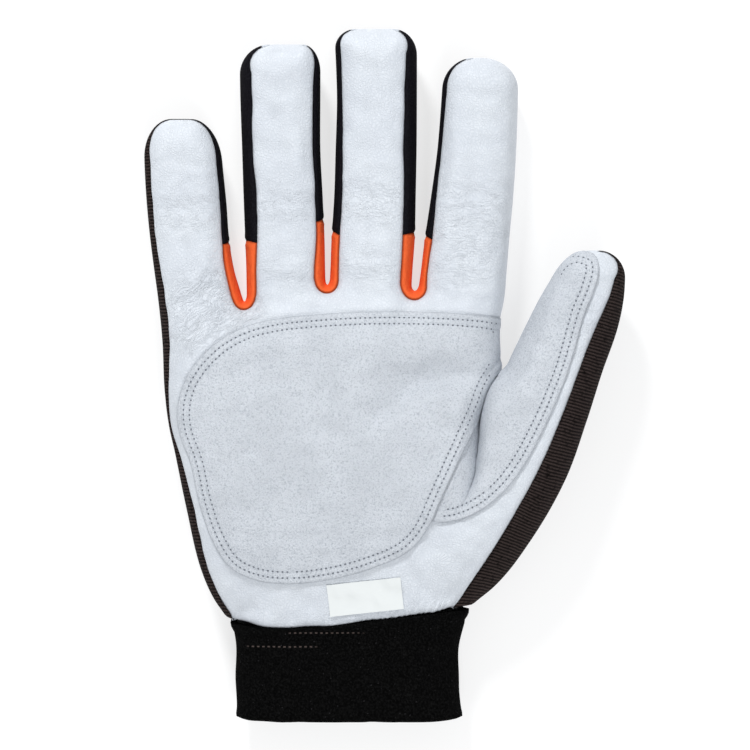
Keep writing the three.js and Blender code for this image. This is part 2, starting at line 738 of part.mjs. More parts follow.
function planOutline(points) {
  const curve = new THREE.CatmullRomCurve3(points.map(([x, y]) => new THREE.Vector3(x, y, 0)), true);
  const ring = curve.getPoints(points.length * OUTLINE_POINTS).slice(0, -1);
  return CrossSection.ofPolygons([ring.map((p) => [p.x, p.y])], "NonZero");
}

// A sheet of the palm side's skin, its inner face the given gap above the skin
function liftedSkin(gap, thickness) {
  const geometry = thickSheet(palmSide, outward, thickness, gap + thickness);
  const mesh = new SolidMesh({
    numProp: 3,
    vertProperties: geometry.attributes.position.array,
    triVerts: new Uint32Array(geometry.index.array),
  });
  return new Manifold(mesh);
}

// The part of a lifted sheet inside a plan outline
function cutOut(sheet, section, from) {
  const tall = 60;
  const cutter = section.extrude(tall).translate([0, 0, from]);
  const mesh = sheet.intersect(cutter).getMesh();
  const geometry = new THREE.BufferGeometry();
  geometry.setAttribute("position", new THREE.BufferAttribute(mesh.vertProperties, 3));
  geometry.setIndex(new THREE.BufferAttribute(mesh.triVerts, 1));
  return geometry;
}

const WHITE_LEATHER = new THREE.MeshStandardMaterial({ color: 0xdfe5ec, roughness: 0.55, metalness: 0 });
const GREY_SUEDE = new THREE.MeshStandardMaterial({ color: 0xc9cdd3, roughness: 0.95, metalness: 0 });
const BROWN_RIB = new THREE.MeshStandardMaterial({ color: 0x2b2524, roughness: 0.85, metalness: 0 });
const BLACK_CLOTH = new THREE.MeshStandardMaterial({ color: 0x15141a, roughness: 0.9, metalness: 0 });
const BLACK_CUFF = new THREE.MeshStandardMaterial({ color: 0x0b0b0c, roughness: 1, metalness: 0 });
const ORANGE_CLOTH = new THREE.MeshStandardMaterial({ color: 0xee6128, roughness: 0.8, metalness: 0 });
const LABEL_PAPER = new THREE.MeshStandardMaterial({ color: 0xf4f6f8, roughness: 0.6, metalness: 0 });

const glove = new THREE.Group();

function addPiece(name, geometry, material) {
  const mesh = new THREE.Mesh(geometry, material);
  mesh.name = name;
  glove.add(mesh);
}

buildHand();
buildCuff();
const outward = cornerNormals();
const FINISH = {
  palm: [WHITE_LEATHER, LEATHER_WALL],
  back: [BROWN_RIB, FABRIC_WALL],
  gusset: [ORANGE_CLOTH, STRIP_WALL],
  fourchette: [BLACK_CLOTH, STRIP_WALL],
  cuff: [BLACK_CUFF, CUFF_WALL],
};
for (const [name, faces] of panels) {
  const [material, wall] = FINISH[name.split("_")[0]];
  addPiece(name, thickSheet(faces, outward, wall), material);
}
const suede = liftedSkin(PATCH_GAP, SUEDE_THICKNESS);
const paper = liftedSkin(PATCH_GAP, LABEL_THICKNESS);
const labelSection = CrossSection.square([LABEL.width, LABEL.height], true)
  .rotate(LABEL.turned)
  .translate([LABEL.x, LABEL.y]);
addPiece("palm_patch", cutOut(suede, planOutline(PALM_PATCH), PALM_PATCH_FROM), GREY_SUEDE);
addPiece("thumb_patch", cutOut(suede, planOutline(THUMB_PATCH), THUMB_PATCH_FROM), GREY_SUEDE);
addPiece("size_label", cutOut(paper, labelSection, 0), LABEL_PAPER);

export default glove;
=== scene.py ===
# %% [markdown]
# A padded mechanic's glove for the right hand lies on its back with the palm up. Its front is white grain
# leather with two grey suede patches, its back is a dark ribbed cloth that comes round the outer edges,
# black strips and orange gussets join the two between the fingers, and a soft black cuff closes the wrist.
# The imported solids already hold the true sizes. This script loads them as a fixed frame and dresses them.

import math

import bmesh
import bpy
import numpy as np
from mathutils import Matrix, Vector
from mathutils.bvhtree import BVHTree
from mathutils.kdtree import KDTree


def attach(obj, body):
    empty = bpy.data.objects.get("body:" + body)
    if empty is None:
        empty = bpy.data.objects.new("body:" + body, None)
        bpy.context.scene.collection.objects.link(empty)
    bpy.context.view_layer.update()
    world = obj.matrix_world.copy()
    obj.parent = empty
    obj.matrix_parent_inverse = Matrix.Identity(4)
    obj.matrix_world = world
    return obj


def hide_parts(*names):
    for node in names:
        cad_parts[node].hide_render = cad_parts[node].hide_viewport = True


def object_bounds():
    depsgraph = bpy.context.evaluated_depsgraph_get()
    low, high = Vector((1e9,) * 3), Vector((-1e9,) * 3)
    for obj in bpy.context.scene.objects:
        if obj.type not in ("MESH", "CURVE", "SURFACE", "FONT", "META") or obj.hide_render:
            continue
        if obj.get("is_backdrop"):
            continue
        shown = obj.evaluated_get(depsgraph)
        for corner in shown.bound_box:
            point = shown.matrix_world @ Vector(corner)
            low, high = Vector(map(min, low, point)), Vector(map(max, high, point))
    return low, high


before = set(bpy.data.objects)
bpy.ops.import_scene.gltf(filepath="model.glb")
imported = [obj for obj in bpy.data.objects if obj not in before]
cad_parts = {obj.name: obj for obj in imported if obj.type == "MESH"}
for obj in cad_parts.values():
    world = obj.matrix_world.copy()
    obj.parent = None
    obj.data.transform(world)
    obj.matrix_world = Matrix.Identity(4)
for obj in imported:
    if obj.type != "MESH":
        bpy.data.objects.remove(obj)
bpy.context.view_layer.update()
MM = 0.001


def put_in_scene(name, data):
    made = bpy.data.objects.new(name, data)
    bpy.context.scene.collection.objects.link(made)
    return made


# %% [markdown]
# The photograph looks straight down on the palm, with a long lens and so hardly any perspective. The camera
# could be orthographic. A very long lens gives the same picture and stays a real camera for other views.
# It stands over the middle of the picture, as far away as makes the picture 272 mm wide at the glove's edge.

# %% The camera over the palm
PICTURE_WIDTH = 271.7
PICTURE_CENTRE = (-3.1, -0.2)
EDGE_HEIGHT = 14.0
LENS = 180.0
SENSOR = 36.0

camera_data = bpy.data.cameras.new("palm_camera")
camera_data.lens = LENS
camera_data.sensor_width = SENSOR
palm_camera = put_in_scene("palm_camera", camera_data)
camera_height = EDGE_HEIGHT + PICTURE_WIDTH * LENS / SENSOR
palm_camera.location = (PICTURE_CENTRE[0] * MM, PICTURE_CENTRE[1] * MM, camera_height * MM)
camera_data.clip_end = 20.0
bpy.context.scene.camera = palm_camera
bpy.context.scene.view_settings.view_transform = "Standard"
print("camera height in mm:", round(camera_height))

# %% [markdown]
# A product picture on white has even light from everywhere, so wrinkles stay faint. A bright world gives
# that, and the floor glows a little like a light table, so the gaps between the fingers stay pale. A lamp
# from the fingers' side, a little to the left, adds the soft shading that shows the folds, and a broader,
# weaker one from the cuff's side keeps the shaded sides open.

# %% Floor and light, in metres
FLOOR = dict(half=3.0, drop=0.0002, glow=0.66)
ROOM_LIGHT = 0.54


def pale_floor():
    mesh = bpy.data.meshes.new("floor")
    half = FLOOR["half"]
    mesh.from_pydata([(-half, -half, 0), (half, -half, 0), (half, half, 0), (-half, half, 0)], [], [(0, 1, 2, 3)])
    floor = put_in_scene("floor", mesh)
    paint = bpy.data.materials.new("pale_floor")
    paint.use_nodes = True
    shader = paint.node_tree.nodes["Principled BSDF"]
    shader.inputs["Base Color"].default_value = (0.36, 0.361, 0.363, 1)
    shader.inputs["Roughness"].default_value = 0.9
    shader.inputs["Emission Color"].default_value = (1.0, 1.0, 1.0, 1)
    shader.inputs["Emission Strength"].default_value = FLOOR["glow"]
    floor.data.materials.append(paint)
    floor.location.z = -FLOOR["drop"]
    floor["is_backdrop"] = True


def soft_lamp(name, place, size, watts):
    data = bpy.data.lights.new(name, "AREA")
    data.shape = "DISK"
    data.size = size
    data.energy = watts
    lamp = put_in_scene(name, data)
    lamp.location = place
    lamp.rotation_euler = (-Vector(place)).to_track_quat("-Z", "Y").to_euler()


pale_floor()
world = bpy.data.worlds.new("white_room")
world.use_nodes = True
sky = world.node_tree.nodes["Background"]
sky.inputs["Color"].default_value = (0.97, 0.985, 1.0, 1)
sky.inputs["Strength"].default_value = ROOM_LIGHT
bpy.context.scene.world = world
soft_lamp("key_from_fingers", (-0.35, 1.2, 0.9), 0.3, 16.5)
soft_lamp("fill_from_cuff", (0.25, -1.0, 1.2), 0.8, 11.0)

# %% [markdown]
# Every panel of the glove is cut from one outer skin, so neighbours meet along shared seams. The skin is
# a height above and below the flat outline, worked out from the distance to that outline. Short tables
# hold the outline, the seams and the heights, and smooth curves run through them. These are the tables
# of the solids' source, with small corrections near the thumb, read here many times more finely.

# %% Smooth tables
def mix(a, b, t):
    return a + (b - a) * t


def smoothstep(low, high, value):
    t = np.clip((value - low) / (high - low), 0, 1)
    return t * t * (3 - 2 * t)


def hump(value, centre, width):
    """1 where the value is centre, falling to 0 beside it."""
    return np.exp(-((value - centre) / width) ** 2)


def smooth_through(at, values):
    """A smooth curve through the values, straight beyond its ends."""
    at, values = np.array(at, float), np.array(values, float)
    steep = np.diff(values) / np.diff(at)
    slope = np.concatenate([steep[:1], (steep[:-1] + steep[1:]) / 2, steep[-1:]])

    def read(v):
        v = np.asarray(v, float)
        held = np.clip(v, at[0], at[-1])
        i = np.clip(np.searchsorted(at, held, side="right") - 1, 0, len(at) - 2)
        width = at[i + 1] - at[i]
        t = (held - at[i]) / width
        rise = t * t * (3 - 2 * t)
        out = t * (1 - t) ** 2 * slope[i] - t * t * (1 - t) * slope[i + 1]
        beyond = np.where(v < at[0], slope[0] * (v - at[0]), 0) + np.where(v > at[-1], slope[-1] * (v - at[-1]), 0)
        return mix(values[i], values[i + 1], rise) + out * width + beyond

    return read


def table(columns, rows):
    names = columns.split()
    at = [row[0] for row in rows]
    return {name: smooth_through(at, [row[k] for row in rows]) for k, name in enumerate(names) if k}


# %% The forks and the digits, in mm
FORKS = {
    "little_ring": dict(x=-50.5, y=26.5, rise=3.0, seam=2.7),
    "ring_middle": dict(x=-20.4, y=32.6, rise=2.4, seam=3.0),
    "middle_index": dict(x=11.4, y=30.4, rise=2.4, seam=3.2),
    "thumb": dict(x=42.0, y=0.9, rise=3.0, seam=2.4),
}
SECTION = "y left right seam_left seam_right"
# left and right: how far across and up each tip corner is rounded; gussets: where each side's gusset ends
DIGITS = {
    "little": dict(tip=92.6, left=(10, 14), right=(10, 15), gussets=(47.3, 47.3), sections=table(SECTION, [
        (-88.6, -56.2, 0, 2.2, 2), (-81.7, -61.2, 0, 2.3, 2), (-70.8, -66.0, 0, 2.4, 2), (-49, -71.2, 0, 2.7, 2),
        (-30, -75.1, 0, 1.6, 2), (-18, -77.6, 0, 0.35, 2), (-6, -79.2, 0, 1.3, 2), (12, -80.1, -50.0, 2.5, 3),
        (27, -81.7, -51.2, 2.6, 3.1), (37.9, -83.2, -54.2, 2.2, 2.5), (48.7, -84.6, -56.0, 1.9, 1.8),
        (62, -85.9, -57.0, 2.0, 1.5), (76, -86.7, -58.4, 2.0, 1.4), (92.6, -86.9, -59.8, 1.7, 1.6)])),
    "ring": dict(tip=119.4, left=(11, 11), right=(6.5, 10), gussets=(47.3, 55.2), sections=table(SECTION, [
        (27, -49.6, -20.9, 3.3, 3.9), (37.9, -49.8, -21.2, 3.5, 3.4), (48.7, -50.2, -21.4, 4.2, 2.5),
        (65, -50.8, -22.1, 4.5, 2.1), (81.3, -51.3, -22.9, 3.6, 2.1), (100, -51.9, -22.9, 4.1, 2.1),
        (119.4, -52.2, -22.8, 3.9, 1.3)])),
    "middle": dict(tip=125, left=(8, 7.2), right=(8.7, 9.4), gussets=(50.5, 50.2), sections=table(SECTION, [
        (27, -19.9, 9.9, 3.2, 3.8), (37.9, -19.3, 10.5, 2.6, 3.8), (48.7, -18.9, 11.3, 2.6, 4.1),
        (65, -17.9, 11.7, 2.4, 3.9), (81.3, -17.4, 12.0, 2.1, 4.4), (100, -16.9, 12.1, 1.5, 4.1),
        (125, -17.8, 12.1, 1.6, 3.3)])),
    "index": dict(tip=114.6, left=(10.6, 10.8), right=(13.4, 11.6), gussets=(49.1, 49.1), sections=table(SECTION, [
        (-4, 11, 41.7, 2.5, 2.4), (4, 11.2, 41.4, 2.5, 2.4), (16, 11.5, 41.2, 2.5, 2.4), (21, 11.8, 42.4, 2.5, 2.4),
        (27, 12.2, 43.7, 2.5, 2.4), (37.9, 13.6, 44.7, 1.9, 2.4), (48.7, 14.9, 45.6, 2.1, 2.4),
        (65, 17.3, 47.1, 1.3, 2.4), (81.3, 19.5, 48.1, 0.9, 2.4), (100, 21.0, 48.7, 1.1, 2.4),
        (114.6, 21.9, 48.9, 1.5, 2.4)])),
    "thumb": dict(tip=44.6, left=(8, 9.6), right=(10, 10.4), gussets=(15, 10), sections=table(SECTION, [
        (-84.2, 20, 30.9, 2.4, 6.0), (-76.3, 22, 40.6, 2.4, 8.6), (-60, 25, 53.2, 2.4, 10.6),
        (-38.2, 30, 65.5, 2.4, 11.0), (-16.5, 36, 73.3, 2.4, 9.6), (0.9, 44.2, 78.8, 2.4, 8.6),
        (16.1, 51.6, 84.1, 2.4, 7.9), (27, 57.2, 86.4, 2.4, 5.6), (36, 62.3, 87.0, 2.4, 3.6),
        (44.6, 66.4, 87.3, 2.4, 1.2)])),
}
LITTLE_EDGE_FROM = -88.6
THUMB_EDGE_FROM = -84.0
CROTCH_ROW = 26.8
THUMB_ROW = -9.0
NOTCH_FROM = 0.745
NOTCH_TO = 0.785
BACK_SEAM = 3.2
TIP_SEAM = 1.1
FRONT_TIP_SEAM = 0.35
print("digits:", ", ".join(f"{name} to {d['tip']}" for name, d in DIGITS.items()))

# %% The cuff, the fold by the thumb and the heights, in mm
CUFF_BOTTOM = -125.0
CUFF_CORNER = 1.6
CUFF_STRIP = 3.0
CUFF_SIDES = table("y left right", [
    (-125, -53.5, 28.7), (-119, -53.6, 28.3), (-112, -53.6, 27.5), (-100, -53.6, 27.6), (-94, -54.1, 28.6),
    (-84, -56.4, 31.0)])
SEAM_LINE = table("x front back", [
    (-57, -88.7, -88.7), (-50, -90.2, -88.6), (-40, -91.2, -88.2), (-24, -90.9, -87.4), (-7, -89.0, -86.6),
    (8, -87.0, -85.8), (22, -85.2, -85.0), (31, -84.5, -84.5)])
CREASE = table("y x share", [
    (-88, 15.5, 0), (-66, 19.0, 0), (-52, 26.0, 0.04), (-38, 32.0, 0.28), (-25, 34.4, 0.48), (-12, 35.9, 0.54),
    (-5, 38.4, 0.5), (0, 41.8, 0.4), (6, 44.2, 0), (45, 53.5, 0)])
CREASE_WIDTH = dict(palm=11, thumb=6.5)
HAND_FORM = table("y middle rise reach", [
    (-125, 13, 12, 20), (-92, 13, 12, 20), (-60, 15, 16.5, 25), (-20, 15.5, 18, 27), (8, 14.2, 16.5, 22),
    (28, 12, 13, 14), (60, 11.4, 11.8, 12.6), (100, 13, 11.6, 12.6), (126, 15.5, 11, 12.6)])
THUMB_FORM = table("y middle rise reach", [
    (-92, 13, 12, 20), (-60, 16.5, 17, 20), (-30, 19.5, 17, 17), (0, 21, 15, 14.5), (45, 23, 11.5, 12.4)])
HAND_SINK = 1.2
THUMB_BELOW = 13.5
# x, y, half length, half width, turn in radians, depth in mm
HOLLOWS = [(6, -12, 27, 20, 0.2, 2.2), (20, 2, 20, 5.5, 0.19, 2.0), (-30, 30, 50, 6, 0.04, 0.8)]
ROUNDNESS = 2.2


def turn(share):
    """The quarter turn of the skin from an edge, 0, to its level part, 1."""
    v = np.clip(share, 0, 1)
    return (1 - (1 - v) ** ROUNDNESS) ** (1 / ROUNDNESS)


def on_ellipse(points, x, y, half_length, half_width, turned=0.0):
    """How far along and across a turned ellipse each point lies, as shares of its half sizes."""
    dx, dy = points[:, 0] - x, points[:, 1] - y
    along = (dx * math.cos(turned) + dy * math.sin(turned)) / half_length
    return along, (dy * math.cos(turned) - dx * math.sin(turned)) / half_width


def dented(points, rows):
    """How deep soft round dents are at plan points, in mm."""
    depth = np.zeros(len(points))
    for *place, deep in rows:
        along, sideways = on_ellipse(points, *place)
        depth += deep * np.exp(-along ** 2 - sideways ** 2)
    return depth


print("cuff width in mm:", round(float(CUFF_SIDES["right"](-110) - CUFF_SIDES["left"](-110)), 1))


# %% [markdown]
# An edge of a digit is one curve from its fork, 0, to its tip, 4. From 0 to 1 it rounds the fork, to 2 it
# passes the gusset, to 3 it runs up the straight side, and to 4 it rounds the corner. Counting along
# the edge like this keeps both sides of a finger in step, so rows can run straight across.

# %% Edges of the digits
PLAIN_START = 3.0  # the length from 0 to 1 where an edge has no fork


def digit_edge(name, side, fork=None, fork_at=0, start=CROTCH_ROW, below=None, lowest=0):
    digit = DIGITS[name]
    across, up = digit[side]
    forked_here = fork is not None and fork_at == 0
    first = fork["y"] if forked_here else start
    rounded = fork["rise"] if forked_here else PLAIN_START
    return dict(
        x=digit["sections"][side], seam=digit["sections"]["seam_" + side], inward=1 if side == "left" else -1,
        tip=digit["tip"], across=across, up=up, fork=fork, fork_at=fork_at, lowest=lowest,
        levels=np.array([first, first + rounded, digit["gussets"][side == "right"], digit["tip"] - up]),
        below=first if below is None else below)


EDGES = {
    "little_left": digit_edge("little", "left", below=LITTLE_EDGE_FROM, lowest=-1),
    "little_right": digit_edge("little", "right", FORKS["little_ring"]),
    "ring_left": digit_edge("ring", "left", FORKS["little_ring"]),
    "ring_right": digit_edge("ring", "right", FORKS["ring_middle"]),
    "middle_left": digit_edge("middle", "left", FORKS["ring_middle"]),
    "middle_right": digit_edge("middle", "right", FORKS["middle_index"]),
    "index_left": digit_edge("index", "left", FORKS["middle_index"]),
    "index_right": digit_edge("index", "right", FORKS["thumb"], -2, below=3.9, lowest=-2),
    "thumb_left": digit_edge("thumb", "left", FORKS["thumb"]),
    "thumb_right": digit_edge("thumb", "right", start=THUMB_ROW, below=THUMB_EDGE_FROM, lowest=-1),
}


def outline_at(edge, s):
    """Plan points on an edge at counts s."""
    s = np.atleast_1d(np.asarray(s, float))
    i = np.clip(np.floor(s), 0, 2).astype(int)
    levels = edge["levels"]
    y = np.where(s < 0, mix(levels[0], edge["below"], -s), mix(levels[i], levels[i + 1], s - i))
    x = edge["x"](y)
    if edge["fork"]:
        fork, angle = edge["fork"], np.clip(s - edge["fork_at"], 0, 1) * math.pi / 2
        fork_y = fork["y"] + fork["rise"] * (1 - np.cos(angle))
        fork_x = mix(fork["x"], edge["x"](fork_y), np.sin(angle))
        inside = s - edge["fork_at"] < 1
        x, y = np.where(inside, fork_x, x), np.where(inside, fork_y, y)
    angle = np.clip(s - 3, 0, 1) * math.pi / 2
    corner_y = edge["tip"] - edge["up"] * (1 - np.sin(angle))
    corner_x = edge["x"](corner_y) + edge["inward"] * edge["across"] * (1 - np.cos(angle))
    return np.stack([np.where(s > 3, corner_x, x), np.where(s > 3, corner_y, y)], -1)


def inward_at(edge, s):
    """The way into the glove, square to its edge. It is level at the cuff, and straight down at forks and tips."""
    s = np.atleast_1d(np.asarray(s, float))
    along = outline_at(edge, np.minimum(s + 0.02, 4)) - outline_at(edge, np.maximum(s - 0.02, edge["lowest"]))
    along /= np.linalg.norm(along, axis=1, keepdims=True)
    normal = np.stack([along[:, 1], -along[:, 0]], -1) * edge["inward"]
    if edge["lowest"] == -1:
        level = 1 - np.clip((s + 1) / 0.2, 0, 1)[:, None]
        normal = mix(normal, np.array([edge["inward"], 0.0]), level)
        normal /= np.linalg.norm(normal, axis=1, keepdims=True)
    if edge["fork"]:
        normal[s == edge["fork_at"]] = (0, -1)
    normal[s == 4] = (0, -1)
    return normal


def seam_inset(edge, s, side):
    """How far the seam lies in from the edge, on the palm's side, 1, or the back's, -1."""
    if side < 0:
        return mix(BACK_SEAM, TIP_SEAM, smoothstep(3, 4, s))
    inset = edge["seam"](outline_at(edge, s)[:, 1])
    if edge["fork"]:
        arc = s - edge["fork_at"]
        inset = np.where(arc < 1, mix(edge["fork"]["seam"], inset, np.clip(arc, 0, 1)), inset)
    # Round a corner the seam comes slowly out to the edge
    return mix(FRONT_TIP_SEAM, inset, (1 - np.clip(s - 3, 0, 1)) ** 0.9)


def inset_line(edge, s, share, side):
    """Plan points at a share of the seam's inset from the edge, with their distances to the outline."""
    s = np.atleast_1d(np.asarray(s, float))
    inset = share * seam_inset(edge, s, side)
    return outline_at(edge, s) + inward_at(edge, s) * inset[:, None], inset


print("edges:", len(EDGES))

# %% The whole outline, and the distance to it
OUTLINE_STEPS = 14
BELOW_CUFF = 30.0


def whole_outline():
    runs = []

    def follow(name, low, high):
        steps = int(round(abs(high - low) * OUTLINE_STEPS))
        runs.append(outline_at(EDGES[name], np.linspace(low, high, steps + 1)))

    def cuff_side(side, low, high):
        y = np.linspace(low, high, 20)
        runs.append(np.stack([CUFF_SIDES[side](y), y], -1))

    cuff_side("left", CUFF_BOTTOM - BELOW_CUFF, LITTLE_EDGE_FROM - 0.5)
    follow("little_left", -1, 4)
    for right, left in (("little_right", "ring_left"), ("ring_right", "middle_left"), ("middle_right", "index_left")):
        follow(right, 4, 0)
        follow(left, 0, 4)
    follow("index_right", 4, -2)
    follow("thumb_left", 0, 4)
    follow("thumb_right", 4, -1)
    cuff_side("right", THUMB_EDGE_FROM - 0.5, CUFF_BOTTOM - BELOW_CUFF)
    return np.concatenate(runs)


OUTLINE = whole_outline()


def distance_to(line, points, closed=False):
    """The distance from each plan point to a chain of short straight pieces."""
    start, end = (line, np.roll(line, -1, 0)) if closed else (line[:-1], line[1:])
    along = end - start
    length = np.maximum((along ** 2).sum(1), 1e-9)
    found = np.empty(len(points))
    for i in range(0, len(points), 4000):
        part = points[i:i + 4000, None, :] - start[None]
        t = np.clip((part * along).sum(2) / length, 0, 1)
        found[i:i + 4000] = np.sqrt(((part - t[..., None] * along) ** 2).sum(2).min(1))
    return found


print("outline pieces:", len(OUTLINE) - 1)

# %% [markdown]
# A leather palm is never smooth. It has soft rolls where the fingers bend, short puckers where it is
# gathered to the cuff, and creases that fan out from the crotches. Each of these is a fold: a centre line,
# a width and a depth. The larger ones move the skin itself, and the finest are left to the leather's finish.

# %% Soft folds of the leather
# x, y, half length, half width, turn in radians, depth in mm
FOLDS = [
    (-70, 61, 13, 2.4, 0.05, 0.55), (-70, 54, 12, 2.0, -0.04, 0.35),
    (-36, 63, 13, 2.6, 0.03, 0.55), (-36, 56, 12, 1.8, -0.05, 0.35),
    (-3, 66, 13, 2.6, -0.03, 0.55), (-3, 58, 12, 2.0, 0.06, 0.40),
    (32, 65, 14, 2.6, -0.10, 0.60), (31, 58, 13, 2.0, -0.02, 0.45), (31, 49, 12, 1.8, 0.05, 0.30),
    (-62, 14, 12, 1.4, 0.62, 0.35), (-66, 19, 11, 1.3, 0.55, 0.30), (-70, 25, 10, 1.3, 0.42, 0.25),
    (30, 27, 12, 1.6, -0.35, 0.35), (33, 33, 10, 1.4, -0.28, 0.25),
    (66, 12, 9, 2.2, -0.5, 0.35), (60, 2, 9, 2.0, -0.45, 0.30),
]
THUMB_FOLD = table("y x depth", [
    (-60, 24.5, 0), (-49, 29.0, 0.2), (-43, 31.6, 1.2), (-37, 33.3, 4.2), (-31, 34.3, 6.6), (-20, 34.9, 7.6),
    (-14, 35.4, 6.4), (-9, 36.6, 3.6), (-3, 39.3, 2.2), (3, 42.2, 0), (60, 44, 0)])
THUMB_FOLD_WIDTH = dict(palm=4.0, thumb=0.9)
# The slanting dent of the palm, and softer ones, in the same columns
DENTS = [
    (21, -2.6, 15, 3.8, 0.14, 3.0), (4, -9.5, 12, 4.6, 0.62, 2.1), (-20, -6, 16, 6, 1.45, 0.9),
    (6, -8, 20, 9, 0.45, 0.6), (-40, 6, 14, 6, 0.6, 0.3), (-14, -48, 22, 9, -0.2, 0.3),
]
PUCKERS = dict(low=-6.0, high=24.0, fade=6.0, reach=7.0, pitch=2.3, depth=0.42)


def thumb_fold(points):
    """The sharp bottom of the fold beside the ball of the thumb, in mm below the soft form."""
    off = points[:, 0] - THUMB_FOLD["x"](points[:, 1])
    width = np.where(off < 0, THUMB_FOLD_WIDTH["palm"], THUMB_FOLD_WIDTH["thumb"])
    return np.maximum(0, THUMB_FOLD["depth"](points[:, 1])) * np.exp(-np.abs(off / width) ** 1.3)


def fold_depth(points):
    """How far the leather stands below its smooth skin, in mm."""
    x, y = points[:, 0], points[:, 1]
    depth = np.zeros(len(points))
    for *place, deep in FOLDS:
        along, sideways = on_ellipse(points, *place)
        depth += deep * np.exp(-along ** 4) * np.exp(-sideways ** 2) * (1 - 0.35 * np.cos(sideways * 2.2))
    above = y - SEAM_LINE["front"](x)
    low, high, fade = PUCKERS["low"], PUCKERS["high"], PUCKERS["fade"]
    along_seam = smoothstep(low - fade, low, x) * (1 - smoothstep(high, high + fade, x))
    wave = 0.5 + 0.5 * np.sin(2 * math.pi * (x - 0.55 * above) / PUCKERS["pitch"] + 1.3 * np.sin(x * 0.9))
    return depth + PUCKERS["depth"] * along_seam * wave * np.clip(1 - above / PUCKERS["reach"], 0, 1) ** 1.5


def skin(points, side, inset=None):
    """The skin's height over plan points: side 1 is the palm side, -1 the back."""
    x, y = points[:, 0], points[:, 1]
    if inset is None:
        inset = distance_to(OUTLINE, points)
    from_crease = x - CREASE["x"](y)
    thumb = smoothstep(-6, 13, from_crease) * smoothstep(-90, -50, y)
    middle = mix(HAND_FORM["middle"](y), THUMB_FORM["middle"](y), thumb)
    level = turn(inset / mix(HAND_FORM["reach"](y), THUMB_FORM["reach"](y), thumb))
    if side < 0:
        return np.maximum(0, middle - mix(middle + HAND_SINK, THUMB_BELOW, thumb) * level)
    share = np.maximum(0, CREASE["share"](y))
    width = np.where(from_crease < 0, CREASE_WIDTH["palm"], CREASE_WIDTH["thumb"])
    fold = 1 - share * (1 - turn(np.abs(from_crease) / width))
    z = middle + mix(HAND_FORM["rise"](y), THUMB_FORM["rise"](y), thumb) * level * fold
    return z - level * dented(points, HOLLOWS)


palm_middle = np.array([[-20.0, -10.0]])
print("folds:", len(FOLDS), "height over the palm's middle in mm:", round(float(skin(palm_middle, 1)[0]), 1))

# %% [markdown]
# The skin is laid out as grids that share their borders: the palm, each digit, the strips that turn round
# the edges and the caps over the tips, for the palm side and for the back. Each grid belongs to a panel.
# Points that fall together are merged, so that panels share one smooth normal along a seam and the light
# runs across it as on real sewn cloth.

# %% Rows of the skin
FINENESS = {
    "fine": dict(columns=34, palm=(104, 8, 32), digit=(8, 22, 60, 14), turns=12),
    "quick": dict(columns=20, palm=(56, 5, 16), digit=(7, 14, 36, 9), turns=7),
    "simulated": dict(columns=14, palm=(46, 3, 12), digit=(4, 9, 26, 6), turns=5),
}
CUFF_ROWS = {"fine": (90, 30), "quick": (60, 20), "simulated": (40, 16)}
ARC_CROWDING = 1.5  # rows crowd together at the foot of a fork, where its outline turns fastest
CUFF_PARTS = (-40.0, -20.0, -1.5)
THUMB_PART = 15.5
PALM_FORKS = ("ring_left", "middle_left", "index_left")
SEAM_HALF = 0.03
JOINT_TILT = 0.02  # the joint of gusset and strip runs a little aslant
TIP_ROLL = dict(fades_from=3.0, fades_to=3.6, left_over=0.1)  # round a tip, seams lie almost flat
MERGE_STEP = 0.002
MERGE_SHIFT = 0.2371  # keeps the grid's round numbers away from the edges of the merging steps


def rows_between(marks, steps, forked_zone):
    """Evenly spaced rows from each mark to the next, crowded only in the zone that rounds a fork."""
    parts = [np.zeros(1)]
    for zone, count in enumerate(steps):
        share = np.arange(1, count + 1) / count
        parts.append(mix(marks[zone], marks[zone + 1], share ** ARC_CROWDING if zone == forked_zone else share))
    return np.concatenate(parts)


def stations(steps):
    """Rows along a digit's edge, from its fork, 0, to its tip, 4."""
    return np.round(rows_between((0, 1, 2, 3, 4), steps, 0), 12)


def palm_stations(steps):
    """Rows up the palm, as shares of its height from the cuff, 0, to the crotches, 1."""
    return rows_between((0, NOTCH_FROM, NOTCH_TO, 1), steps, 1)


def on_little(r):
    """The count along the little finger's outer edge that a palm row meets."""
    return r - 1


def on_thumb(r):
    """The same on the thumb's outer edge."""
    return r / NOTCH_FROM - 1


def on_index(r):
    """The same on the forefinger's edge, where the rows pass the web of the thumb, -2 to -1."""
    low = -2 + (r - NOTCH_FROM) / (NOTCH_TO - NOTCH_FROM)
    high = -1 + (r - NOTCH_TO) / (1 - NOTCH_TO)
    return np.round(np.where(r <= NOTCH_TO, low, high), 12)


def seam_y(x, side):
    """How high the cuff's seam lies."""
    return SEAM_LINE["front" if side > 0 else "back"](x) + SEAM_HALF


def palm_line(k, r, side):
    """The line on the palm that leads up to a crotch between two fingers."""
    end = inset_line(EDGES[PALM_FORKS[k]], 0, 1, side)[0][0]
    foot = np.array([CUFF_PARTS[k], seam_y(CUFF_PARTS[k], side)])
    return mix(foot, end, r[:, None])


def crease_line(r, side):
    """The line from the cuff up the fold beside the thumb to the thumb's fork."""
    end = inset_line(EDGES["thumb_left"], 0, 1, side)[0][0]
    t = r / NOTCH_FROM
    y = mix(seam_y(THUMB_PART, side), end[1], t)
    line = np.stack([CREASE["x"](y) + (end[0] - CREASE["x"](end[1])) * t, y], -1)
    line[r == NOTCH_FROM] = end
    return line


def across(left, right, columns):
    """Rows from one line to another. They leave both lines level, so that they don't cross at a fork."""
    t = np.arange(columns + 1) / columns
    return mix(left[:, None, :], right[:, None, :], np.stack([t, smoothstep(0, 1, t)], -1)[None])


